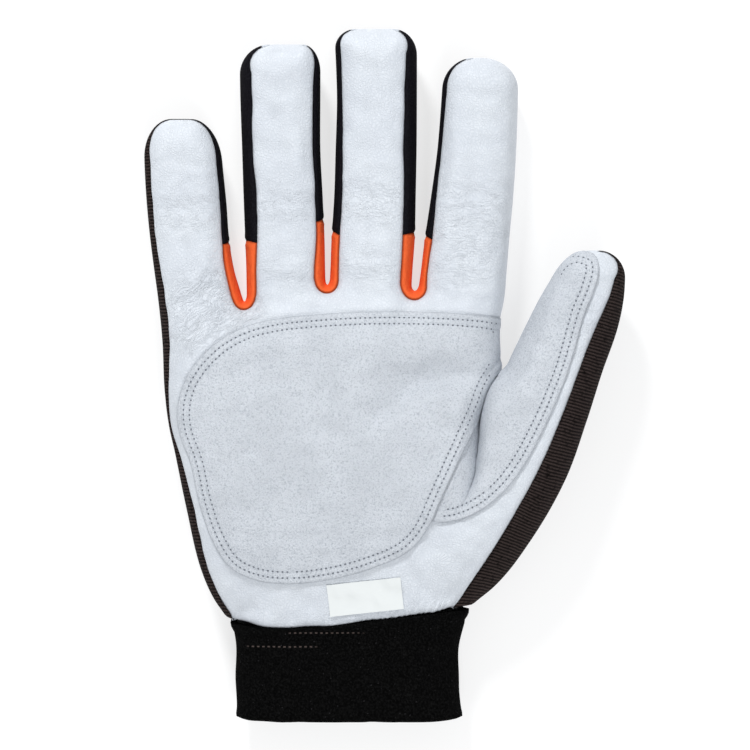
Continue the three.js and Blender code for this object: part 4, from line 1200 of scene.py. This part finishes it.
def stitch_tree():
    """Builds the tree that sets a bead of a given length, width and height on every point of a row."""
    tree = bpy.data.node_groups.new("beads_along_a_row", "GeometryNodeTree")
    socket = tree.interface.new_socket
    socket("Row", in_out="INPUT", socket_type="NodeSocketGeometry")
    for name in ("Length", "Width", "Height"):
        socket(name, in_out="INPUT", socket_type="NodeSocketFloat")
    socket("Finish", in_out="INPUT", socket_type="NodeSocketMaterial")
    socket("Beads", in_out="OUTPUT", socket_type="NodeSocketGeometry")
    new, link = tree.nodes.new, tree.links.new
    given = new("NodeGroupInput")
    bead = new("GeometryNodeMeshUVSphere")
    bead.inputs["Segments"].default_value = 8
    bead.inputs["Rings"].default_value = 5
    bead.inputs["Radius"].default_value = 0.5
    size = new("ShaderNodeCombineXYZ")
    for axis, name in zip("XYZ", ("Length", "Width", "Height")):
        link(given.outputs[name], size.inputs[axis])
    stretch = new("GeometryNodeTransform")
    link(bead.outputs["Mesh"], stretch.inputs["Geometry"])
    link(size.outputs["Vector"], stretch.inputs["Scale"])
    directions = []
    for name in ("outward", "forward"):
        read = new("GeometryNodeInputNamedAttribute")
        read.data_type = "FLOAT_VECTOR"
        read.inputs["Name"].default_value = name
        directions.append(read.outputs["Attribute"])
    face_up = new("FunctionNodeAxesToRotation")
    face_up.primary_axis, face_up.secondary_axis = "Z", "X"
    link(directions[0], face_up.inputs[0])
    link(directions[1], face_up.inputs[1])
    place = new("GeometryNodeInstanceOnPoints")
    link(given.outputs["Row"], place.inputs["Points"])
    link(stretch.outputs["Geometry"], place.inputs["Instance"])
    link(face_up.outputs["Rotation"], place.inputs["Rotation"])
    real = new("GeometryNodeRealizeInstances")
    link(place.outputs["Instances"], real.inputs["Geometry"])
    paint = new("GeometryNodeSetMaterial")
    link(real.outputs["Geometry"], paint.inputs["Geometry"])
    link(given.outputs["Finish"], paint.inputs["Material"])
    result = new("NodeGroupOutput")
    link(paint.outputs["Geometry"], result.inputs["Beads"])
    return tree


BEADS = stitch_tree()


def beads(points, outward_at, forward_at, size, finish):
    """A plain mesh of beads set on points, in metres."""
    mesh = bpy.data.meshes.new("row")
    mesh.from_pydata((points * MM).tolist(), [], [])
    for name, values in (("outward", outward_at), ("forward", forward_at)):
        mesh.attributes.new(name, "FLOAT_VECTOR", "POINT").data.foreach_set("vector", values.astype(np.float32).ravel())
    row = put_in_scene("row", mesh)
    modifier = row.modifiers.new("beads", "NODES")
    modifier.node_group = BEADS
    names = {item.name: item.identifier for item in BEADS.interface.items_tree if item.in_out == "INPUT"}
    for name, value in zip(("Length", "Width", "Height"), size):
        modifier[names[name]] = value * MM
    modifier[names["Finish"]] = finish
    depsgraph = bpy.context.evaluated_depsgraph_get()
    made = bpy.data.meshes.new_from_object(row.evaluated_get(depsgraph), depsgraph=depsgraph)
    bpy.data.objects.remove(row)
    return made


print("stitches in 25 mm:", round(25 / PITCH))

# %% [markdown]
# Materials are node trees, and their maths reads better as plain expressions. One small class wraps a socket,
# so that adding or multiplying two of them adds the Math node. All patterns use object coordinates
# in millimetres, or a number stored on the points, so they stay in place from every side.

# %% Shader sockets as expressions
class Wire:
    """The output of a shader node, which can be added, multiplied and so on."""

    def __init__(self, finish, socket):
        self.finish, self.socket = finish, socket

    def math(self, operation, *others, swap=False):
        values = [*others, self] if swap else [self, *others]
        return self.finish.node("ShaderNodeMath", dict(operation=operation), dict(enumerate(values)))

    def __add__(self, other): return self.math("ADD", other)
    def __radd__(self, other): return self.math("ADD", other)
    def __sub__(self, other): return self.math("SUBTRACT", other)
    def __rsub__(self, other): return self.math("SUBTRACT", other, swap=True)
    def __mul__(self, other): return self.math("MULTIPLY", other)
    def __rmul__(self, other): return self.math("MULTIPLY", other)
    def __truediv__(self, other): return self.math("DIVIDE", other)
    def __pow__(self, other): return self.math("POWER", other)


class Finish:
    """A material made node by node around one Principled shader. Sizes in its patterns are in mm."""

    def __init__(self, name, roughness, sheen=0.0, specular=0.5):
        self.material = bpy.data.materials.new(name)
        self.material.use_nodes = True
        self.tree = self.material.node_tree
        self.shader = self.tree.nodes["Principled BSDF"]
        self.shader.inputs["Roughness"].default_value = roughness
        self.shader.inputs["Sheen Weight"].default_value = sheen
        self.shader.inputs["Specular IOR Level"].default_value = specular
        self.place = self.node("ShaderNodeTexCoord", {}, {}, "Object")
        self.mm = self.node("ShaderNodeVectorMath", dict(operation="SCALE"), {0: self.place, "Scale": 1000.0})

    def node(self, kind, settings=None, sockets=None, output=0):
        made = self.tree.nodes.new(kind)
        for key, value in (settings or {}).items():
            setattr(made, key, value)
        for key, value in (sockets or {}).items():
            if isinstance(value, Wire):
                self.tree.links.new(value.socket, made.inputs[key])
            else:
                made.inputs[key].default_value = value
        return Wire(self, made.outputs[output])

    def turned(self, degrees=0.0, scale=(1, 1, 1), at=None):
        """The place turned about z, then scaled along the turned axes: a small scale stretches a pattern."""
        return self.node("ShaderNodeMapping", dict(vector_type="TEXTURE"), {
            "Vector": at or self.mm, "Rotation": (0, 0, math.radians(degrees)), "Scale": [1 / s for s in scale]})

    def axis(self, name):
        return self.node("ShaderNodeSeparateXYZ", {}, {"Vector": self.mm}, name)

    def noise(self, size, detail=2.0, roughness=0.5, at=None):
        return self.node("ShaderNodeTexNoise", {}, {
            "Vector": at or self.mm, "Scale": 1 / size, "Detail": detail, "Roughness": roughness})

    def cells(self, size, feature="SMOOTH_F1", smooth=0.3, at=None):
        sockets = {"Vector": at or self.mm, "Scale": 1 / size}
        if feature == "SMOOTH_F1":
            sockets["Smoothness"] = smooth
        return self.node("ShaderNodeTexVoronoi", dict(feature=feature), sockets, "Distance")

    def number(self, name):
        """A number stored on the points."""
        return self.node("ShaderNodeAttribute", dict(attribute_name=name), {}, "Fac")

    def ramp(self, value, low, high):
        """0 at low, 1 at high, with a soft step between."""
        return self.node("ShaderNodeMapRange", dict(interpolation_type="SMOOTHSTEP"), {
            "Value": value, "From Min": low, "From Max": high})

    def line(self, value, centre, width):
        """1 on a line where the value is centre, falling to 0 beside it."""
        off = (value - centre) / width
        return (off * off * -1.0).math("EXPONENT")

    def mixed(self, low, high, share):
        return self.node("ShaderNodeMix", dict(data_type="RGBA"), {0: share, 6: low, 7: high}, 2)

    def put(self, name, value):
        self.tree.links.new(value.socket, self.shader.inputs[name])

    def colour(self, value):
        self.put("Base Color", value)

    def wave(self, along, pitch):
        """A soft ridge every pitch mm, from 0 to 1."""
        return (along * (2 * math.pi / pitch)).math("SINE") * 0.5 + 0.5

    def bumps(self, height, depth=1.0):
        """Height in mm becomes a bump."""
        self.put("Normal", self.node("ShaderNodeBump", {}, {"Strength": 1.0, "Distance": depth * MM, "Height": height}))


def screen(red, green, blue):
    """A colour as it looks on a screen, made linear."""
    linear = [(c / 255) / 12.92 if c < 11 else ((c / 255 + 0.055) / 1.055) ** 2.4 for c in (red, green, blue)]
    return (*linear, 1.0)


print("light grey in linear light:", [round(c, 2) for c in screen(220, 228, 235)[:3]])

# %% [markdown]
# The palm is white grain leather: tiny soft pebbles, fine creases across each finger where it bends, and a
# fan of slanting wrinkles below the little finger. The pebbles are cells of about a millimetre, and the wrinkles
# are noise stretched along the fold. Numbers on the points say where each kind of wrinkle shows.

# %% Numbers that say where the leather wrinkles
# x, y, half length, half width and, where it is turned, the turn in radians
LEVEL_WRINKLES = [
    (-70, 58, 16, 9), (-36, 60, 15, 10), (-3, 62, 16, 10), (32, 60, 16, 12), (32, 48, 14, 6), (67, 18, 14, 12),
    (-36, 36, 15, 6), (-4, 38, 15, 6), (28, 36, 15, 7)]
SLANTING_WRINKLES = [(-63, 18, 18, 12, 0.6), (-66, 30, 12, 8, 0.4), (-52, 24, 10, 8, 0.8)]
GATHER_REACH = 6.0


def wrinkled(points, zones):
    """1 inside turned ellipses, falling to 0 outside."""
    total = 0
    for zone in zones:
        along, sideways = on_ellipse(points, *zone)
        total = total + np.exp(-along ** 4 - sideways ** 2)
    return np.clip(total, 0, 1)


def wrinkle_zones(points):
    gathered = hump(points[:, 1], SEAM_LINE["front"](points[:, 0]), GATHER_REACH)
    return dict(level=wrinkled(points, LEVEL_WRINKLES), slant=wrinkled(points, SLANTING_WRINKLES), gather=gathered)


print("wrinkle zones:", len(LEVEL_WRINKLES) + len(SLANTING_WRINKLES))

# %% [markdown]
# Round a fingertip's corner the leather comes over the edge, and the black side strip tapers out below it on
# a slanted line. The strip could be cut there, but the panels meet at that corner in a plain T, and a painted
# taper looks the same from a little way off. So each strip stores how far its points lie past that line, and
# its finish turns to leather there. The brown back stores the length up its cloth, which its ribs follow, and
# which goes on down the far side of the tips.

# %% Numbers for the tapering strips and the ribs
TIP_CORNERS = ("ring_left", "ring_right", "middle_left", "middle_right", "index_left")
# low, high: heights between which the line slants. ends, starts: its angle round the corner there, in degrees
TAPER = dict(low=5.0, high=16.5, ends=92, starts=74, far=9, beside=1.3, beyond=4)
NO_SEAM = 5.0  # past the taper the leather's dark seam line is pushed this far away


def past_taper(points, corner):
    """How far a point lies past the line where a strip tapers out round a fingertip's corner, in mm."""
    edge = EDGES[corner]
    x, y, z = points.T
    ahead = (y - edge["tip"] + edge["up"]) / edge["up"]
    aside = 1 - (x - edge["x"](y)) * edge["inward"] / edge["across"]
    angle = np.degrees(np.arctan2(ahead, aside))
    share = np.clip((z - TAPER["low"]) / (TAPER["high"] - TAPER["low"]), 0, 1)
    past = np.radians(angle - mix(TAPER["ends"], TAPER["starts"], share)) * (edge["up"] + edge["across"]) / 2
    in_reach = (x - edge["x"](y)) * edge["inward"] < edge["across"] + TAPER["beyond"]
    near = (ahead > 0) & (aside < TAPER["beside"]) & in_reach
    return np.where(near, np.clip(past, -TAPER["far"], TAPER["far"]), -TAPER["far"])


for name, piece in pieces.items():
    place = read_points(piece) / MM
    past = np.max([past_taper(place, corner) for corner in TIP_CORNERS], 0)
    if name == "palm_leather":
        for zone, values in wrinkle_zones(place).items():
            give_number(piece, zone, values)
        seam = piece.data.attributes["from_seam"].data
        seam_far = np.array([value.value for value in seam]) + NO_SEAM * smoothstep(-0.8, 0.2, past)
        seam.foreach_set("value", seam_far.astype(np.float32))
    if name == "back_fabric":
        facing = read_points(piece, "normal")
        give_number(piece, "up_the_cloth", place[:, 1] + place[:, 2] * smoothstep(0.5, 0.95, facing[:, 1]))
    if name.startswith("fourchette"):
        give_number(piece, "past_taper", past)
print("numbers stored:", {name: [a.name for a in pieces[name].data.attributes if a.data_type == "FLOAT"]
                          for name in ("palm_leather", "back_fabric", "fourchette_ring_left")})

# %% White leather
PEBBLE = 0.95
SEAM_SHADE = screen(96, 98, 106)


def white_leather():
    f = Finish("white_grain_leather", roughness=0.5, specular=0.35)
    wander = f.node("ShaderNodeTexNoise", {}, {"Vector": f.mm, "Scale": 0.16, "Detail": 1.0}, "Color")
    drift = f.node("ShaderNodeVectorMath", dict(operation="MULTIPLY_ADD"), {0: wander, 1: (5, 5, 5), 2: f.mm})
    pebbles = f.cells(PEBBLE, smooth=0.25, at=drift)
    net = f.ramp(f.cells(PEBBLE, feature="DISTANCE_TO_EDGE", at=drift), 0.0, 0.22)
    slow = f.noise(16.0, detail=1.0)
    grain_way = f.noise(1.0, detail=2.0, roughness=0.6, at=f.turned(12, (0.5, 1.7, 1.0), drift))
    straight = f.noise(1.0, detail=2.0, roughness=0.6, at=f.turned(3, (0.16, 1.2, 0.7), drift))
    slanting = f.noise(1.0, detail=2.0, roughness=0.6, at=f.turned(38, (0.13, 1.45, 0.7), drift))
    gathered = f.noise(1.0, detail=2.0, at=f.turned(58, (0.16, 1.1, 0.7), drift))
    level, slant, gather = (f.number(name) for name in ("level", "slant", "gather"))
    valleys = [(1.0 - f.ramp((wrinkles - 0.5).math("ABSOLUTE"), 0.0, width)) * zone for wrinkles, width, zone in (
        (straight, 0.05, level), (slanting, 0.07, slant), (gathered, 0.06, gather))]
    crease = valleys[0] * 0.5 + valleys[1] * 0.8 + valleys[2] * 0.5
    f.bumps(net * 0.065 - pebbles * 0.07 + (grain_way - 0.5) * 0.05 + slow * 0.2 - crease * 0.16)
    tone = f.ramp(slow, 0.3, 0.7)
    base = f.mixed(screen(209, 214, 221), screen(214, 219, 225), tone)
    hollow = f.ramp(pebbles, 0.6, 0.15)
    base = f.mixed(base, screen(190, 197, 206), (1.0 - hollow) * 0.2)
    base = f.mixed(base, screen(178, 186, 196), (1.0 - net) * 0.18)
    # The crease valleys are darkened too: painted shade in the folds.
    base = f.mixed(base, screen(166, 174, 184), crease * 0.22)
    seam = f.line(f.number("from_seam"), 0.0, 0.42) * (f.wave(f.axis("Y"), PITCH) * 0.5 + 0.5)
    f.colour(f.mixed(base, SEAM_SHADE, seam * 0.7))
    f.put("Roughness", tone * 0.1 + 0.48)
    return f.material


def grey_suede():
    f = Finish("grey_suede", roughness=0.95, specular=0.12)
    nap = f.noise(0.7, detail=4.0, roughness=0.75)
    flecks = f.noise(0.36, detail=2.0, roughness=0.6)
    clouds = f.noise(15.0, detail=2.0)
    edge = f.number("from_edge")
    rows = f.line(edge, GROOVES[0], 0.4) + f.line(edge, GROOVES[1], 0.4)
    f.bumps(nap * 0.62 + flecks * 0.22 + clouds * 0.15 - rows * 0.12)
    base = f.mixed(screen(207, 212, 219), screen(214, 219, 226), f.ramp(clouds, 0.35, 0.65))
    base = f.mixed(base, screen(172, 179, 188), f.ramp(nap, 0.54, 0.32) * 0.9)
    base = f.mixed(base, screen(229, 233, 238), f.ramp(flecks, 0.56, 0.70) * 0.6)
    # A thin dark line right at the patch's cut edge is a painted shadow of its rim.
    base = f.mixed(base, screen(150, 156, 164), f.line(edge, 0.0, 0.3) * 0.55)
    # The stitch grooves are a little darker too: painted shade in them.
    f.colour(f.mixed(base, screen(172, 178, 187), rows * 0.15))
    return f.material


print("made: white leather, grey suede")

# %% [markdown]
# The back is a ribbed stretch cloth. Its ribs are soft ridges across the hand, 1.2 mm apart, with a dark gap
# between. Geometry would take millions of faces, so a sine of the stored length up the cloth makes them. On the
# thumb's side the cloth is sewn on a slant, so its ribs tip down a little to the right.

# %% Ribbed cloth
RIB_PITCH = 1.2
LUMP_PITCH = 1.05
SLANT = dict(starts=20.0, full=60.0, slope=0.26)


def ribbed_cloth():
    f = Finish("brown_ribbed_cloth", roughness=0.9, specular=0.04)
    x, y = f.axis("X"), f.number("up_the_cloth")
    wander = f.noise(5.0, detail=3.0) * 0.6
    slope = f.ramp(x, SLANT["starts"], SLANT["full"]) * (x - SLANT["starts"]) * SLANT["slope"]
    phase = (y + slope + wander) * (2 * math.pi / RIB_PITCH)
    ridge = (phase.math("SINE") * 0.5 + 0.5) ** 0.7
    threads = f.noise(0.28, detail=2.0, at=f.turned(0, (0.8, 1.6, 0.8)))
    # Lumps of yarn along each rib, shifted from one rib to the next
    stagger = (phase * (1 / (2 * math.pi)) - 0.25).math("FLOOR") * 2.4
    lumps = (x * (2 * math.pi / LUMP_PITCH) + stagger + wander).math("SINE") * 0.5 + 0.5
    breaks = f.noise(1.6, detail=3.0)
    f.bumps(ridge * (lumps * 0.3 + 0.7) * 0.5 + threads * 0.15 + breaks * 0.2)
    lit = ridge * (lumps * 0.35 + 0.65) * f.ramp(breaks, 0.2, 0.5)
    base = f.mixed(screen(9, 7, 7), screen(66, 56, 54), lit)
    f.colour(f.mixed(base, screen(104, 92, 89), f.ramp(threads, 0.56, 0.74) * lit * 0.55))
    return f.material


print("ribs in 25 mm:", round(25 / RIB_PITCH))

# %% [markdown]
# The strips are a plain matt black cloth and the gussets a bright orange one, both woven so finely that a
# little noise in colour and height is enough. The cuff is a fuzzy knit with a few pale threads: two short rows
# of dashes at its top, and specks of lint.

# %% Strips, gussets and cuff
def black_strip():
    f = Finish("black_strip_cloth", roughness=0.9, specular=0.03)
    weave = f.noise(0.4, detail=2.0)
    cloth = f.mixed(screen(14, 13, 17), screen(30, 29, 34), f.ramp(weave, 0.4, 0.7))
    past = f.number("past_taper")
    leather = f.ramp(past, -0.06, 0.06)
    pebbles = f.cells(PEBBLE, smooth=0.25)
    f.bumps(weave * (leather * -0.12 + 0.16) + f.noise(3.0) * 0.3 - pebbles * leather * 0.1)
    base = f.mixed(cloth, f.mixed(screen(196, 202, 210), screen(184, 191, 200), pebbles), leather)
    f.colour(f.mixed(base, SEAM_SHADE, f.line(past, 0.1, 0.3) * 0.6))
    f.put("Roughness", leather * -0.4 + 0.9)
    return f.material


def orange_cloth():
    f = Finish("orange_gusset_cloth", roughness=0.8, specular=0.12)
    weave = f.cells(0.5, smooth=0.4)
    slow = f.noise(2.4, detail=2.0)
    f.bumps(weave * 0.12 + slow * 0.4)
    seam = f.line(f.number("from_seam"), 0.0, 0.45)
    base = f.mixed(screen(226, 94, 46), screen(240, 108, 56), slow)
    f.colour(f.mixed(base, screen(120, 40, 12), seam * 0.7))
    return f.material


def black_knit():
    f = Finish("black_cuff_knit", roughness=1.0, specular=0.02)
    nap = f.noise(0.7, detail=4.0, roughness=0.75)
    loops = f.cells(0.9, smooth=0.6)
    lint = f.ramp(f.cells(3.1, feature="F1", at=f.turned(31, (1, 1.7, 1))), 0.10, 0.04)
    f.bumps(nap * 0.7 + loops * 0.3)
    base = f.mixed(screen(5, 5, 5), screen(24, 24, 24), f.ramp(nap, 0.42, 0.72))
    base = f.mixed(base, screen(110, 108, 112), lint * 0.22)
    x, y, z = (f.axis(name) for name in "XYZ")
    palm_side = f.ramp(z, 12.0, 14.0)
    dashes = f.ramp((x * (2 * math.pi / 1.9)).math("SINE"), -0.1, 0.4)
    upper = f.line(y, -92.9, 0.2) * f.ramp(x, -36.0, -32.0) * f.ramp(x, -5.0, -12.0)
    lower = f.line(y, -97.9, 0.22) * f.ramp(x, -51.0, -47.0) * f.ramp(x, -22.0, -27.0)
    f.colour(f.mixed(base, screen(104, 92, 88), (upper + lower) * dashes * palm_side * 0.75))
    return f.material


print("made: strip, gusset and cuff finishes")

# %% [markdown]
# The small parts are simple. The sticker is smooth paper, the lining a grey fleece that shows only in the open
# cuff, the thread off-white, and a needle hole is painted shade, soft grey rather than black, as suede closes round it.

# %% Sticker, lining and thread
def sticker_paper():
    f = Finish("white_sticker", roughness=0.45, specular=0.5)
    slow = f.noise(7.0)
    f.bumps(slow * 0.2)
    f.colour(f.mixed(screen(215, 219, 219), screen(221, 225, 225), slow))
    return f.material


def lining_cloth():
    f = Finish("grey_lining", roughness=0.95, sheen=0.2, specular=0.2)
    fleece = f.noise(0.8, detail=4.0, roughness=0.7)
    f.bumps(fleece * 0.4)
    f.colour(f.mixed(screen(58, 58, 60), screen(86, 86, 88), fleece))
    return f.material


def thread_finish(name, low, high, roughness):
    f = Finish(name, roughness=roughness, specular=0.3)
    twist = f.noise(2.2, detail=3.0)
    f.bumps(twist * 0.05)
    f.colour(f.mixed(low, high, twist))
    return f.material


LINING = lining_cloth()
THREAD = thread_finish("off_white_thread", screen(174, 180, 188), screen(198, 204, 211), 0.8)
# A needle hole is a flat dark bead of painted shade on the suede, not a cut hole.
HOLE_SHADE = thread_finish("needle_hole_painted_shade", screen(78, 83, 92), screen(132, 138, 147), 0.95)
FINISHES = {
    "palm_leather": white_leather(), "back_fabric": ribbed_cloth(), "cuff": black_knit(), "size_label": sticker_paper()}
suede, strip, gusset = grey_suede(), black_strip(), orange_cloth()
LIKE_NAMED = {"palm": suede, "thumb": suede, "fourchette": strip, "gusset": gusset}
for name, piece in pieces.items():
    piece.data.materials.append(FINISHES.get(name) or LIKE_NAMED[name.split("_")[0]])
    if "patch" not in name and name != "size_label":
        piece.data.materials.append(LINING)
print("finishes:", sorted({p.data.materials[0].name for p in pieces.values()}))

# %% [markdown]
# A row of stitches follows the patch's outline at a fixed inset, and lies on top of the suede. So each patch's
# ring is moved inwards, cut into even steps, and every step is dropped straight down onto the finished patch.

# %% Sew the patches down
STEPS = 8  # steps along a row for each stitch
# Sizes along, across and up, and how deep the bead sits in the suede, in mm
STITCH = dict(size=(PITCH * 0.62, 0.26, 0.22), sink=0.05)
HOLE = dict(size=(0.82, 0.62, 0.34), sink=-0.04)


def inner_ring(ring, inset):
    """The ring moved inwards, as evenly spaced plan points."""
    along = np.roll(ring, -1, 0) - np.roll(ring, 1, 0)
    along /= np.linalg.norm(along, axis=1, keepdims=True)
    area = np.sum(ring[:, 0] * np.roll(ring[:, 1], -1) - np.roll(ring[:, 0], -1) * ring[:, 1])
    inwards = np.stack([-along[:, 1], along[:, 0]], -1) * (1 if area > 0 else -1)
    moved = ring + inwards * inset
    moved = moved[distance_to(ring, moved, closed=True) > inset * 0.97]
    closed = np.concatenate([moved, moved[:1]])
    run = np.concatenate([[0], np.cumsum(np.linalg.norm(np.diff(closed, axis=0), axis=1))])
    at = np.arange(0, run[-1] - PITCH / 2, PITCH / STEPS)
    return np.stack([np.interp(at, run, closed[:, k]) for k in range(2)], -1)


def on_patch(surface, plan):
    """Points on a patch's top under plan points, with the way the surface faces there."""
    found = np.full((len(plan), 3), np.nan)
    facing = np.zeros((len(plan), 3))
    for i, (x, y) in enumerate(plan):
        place, normal, _, _ = surface.ray_cast((x, y, ABOVE_ALL), (0, 0, -1))
        if place is not None:
            found[i], facing[i] = place, normal
    return found, facing


def sewn_here(name, plan):
    """Where a row is really stitched: the thumb's suede is loose where it goes under the palm's."""
    if name == "palm_patch":
        return (plan[:, 0] < 38) | (plan[:, 1] > 14.6) | (plan[:, 1] < -6)
    clear = outside_by(PATCHES["palm_patch"]["ring"], plan) > 2.6
    beside_fold = CREASE["x"](plan[:, 1]) + mix(6, 12, smoothstep(-30, 0, plan[:, 1]))
    return clear & ~((plan[:, 1] > -42) & (plan[:, 0] < beside_fold))


def sew(name):
    """The rows of a patch: threads half way between the needle holes."""
    surface, parts = patch_surface[name], []
    for inset in ROWS[name]:
        row = inner_ring(PATCHES[name]["ring"], inset)
        for finish, start, bead in ((THREAD, STEPS // 2, STITCH), (HOLE_SHADE, 0, HOLE)):
            at = (np.arange(len(row) // STEPS) * STEPS + start) % len(row)
            place, facing = on_patch(surface, row[at])
            ahead = on_patch(surface, row[(at + 1) % len(row)])[0] - on_patch(surface, row[at - 1])[0]
            keep = (facing[:, 2] > 0.3) & ~np.isnan(ahead).any(1) & sewn_here(name, row[at])
            keep &= np.linalg.norm(np.nan_to_num(ahead), axis=1) < PITCH
            place = place - bead["sink"] * facing
            parts.append(beads(place[keep], facing[keep], ahead[keep], bead["size"], finish))
    return parts


def join_parts(name, meshes):
    """One smooth piece of several meshes, each of one material."""
    made = bmesh.new()
    finishes = []
    for part in meshes:
        material = next(m for m in part.materials if m)
        if material not in finishes:
            finishes.append(material)
        start = len(made.faces)
        made.from_mesh(part)
        made.faces.ensure_lookup_table()
        for face in made.faces[start:]:
            face.material_index = finishes.index(material)
            face.smooth = True
        bpy.data.meshes.remove(part)
    mesh = bpy.data.meshes.new(name)
    made.to_mesh(mesh)
    made.free()
    for material in finishes:
        mesh.materials.append(material)
    return put_in_scene(name, mesh)


stitches = [join_parts(name + "_stitches", sew(name)) for name in PATCHES]
for piece in stitches:
    print(piece.name + ":", len(piece.data.polygons), "faces", [material.name for material in piece.data.materials])

# %% [markdown]
# Last, every piece takes the place of its imported solid, which stays for collisions, hidden. Cloth doesn't turn on
# hinges, so all of it rides on the one body. The suede patches and the sticker are sheets, and the rest is padded.

# %% Hand the pieces to the frame
SHEETS = {"palm_patch": "suede", "thumb_patch": "suede", "size_label": "size_label"}
for name, piece in pieces.items():
    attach(piece, "root")
    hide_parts(name)
    if name in SHEETS:
        width, length = (float(size) for size in np.ptp(read_points(piece), 0)[:2])
for piece in stitches:
    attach(piece, "root")

low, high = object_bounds()
print("visual box in mm:", [round((b - a) / MM, 1) for a, b in zip(low, high)])
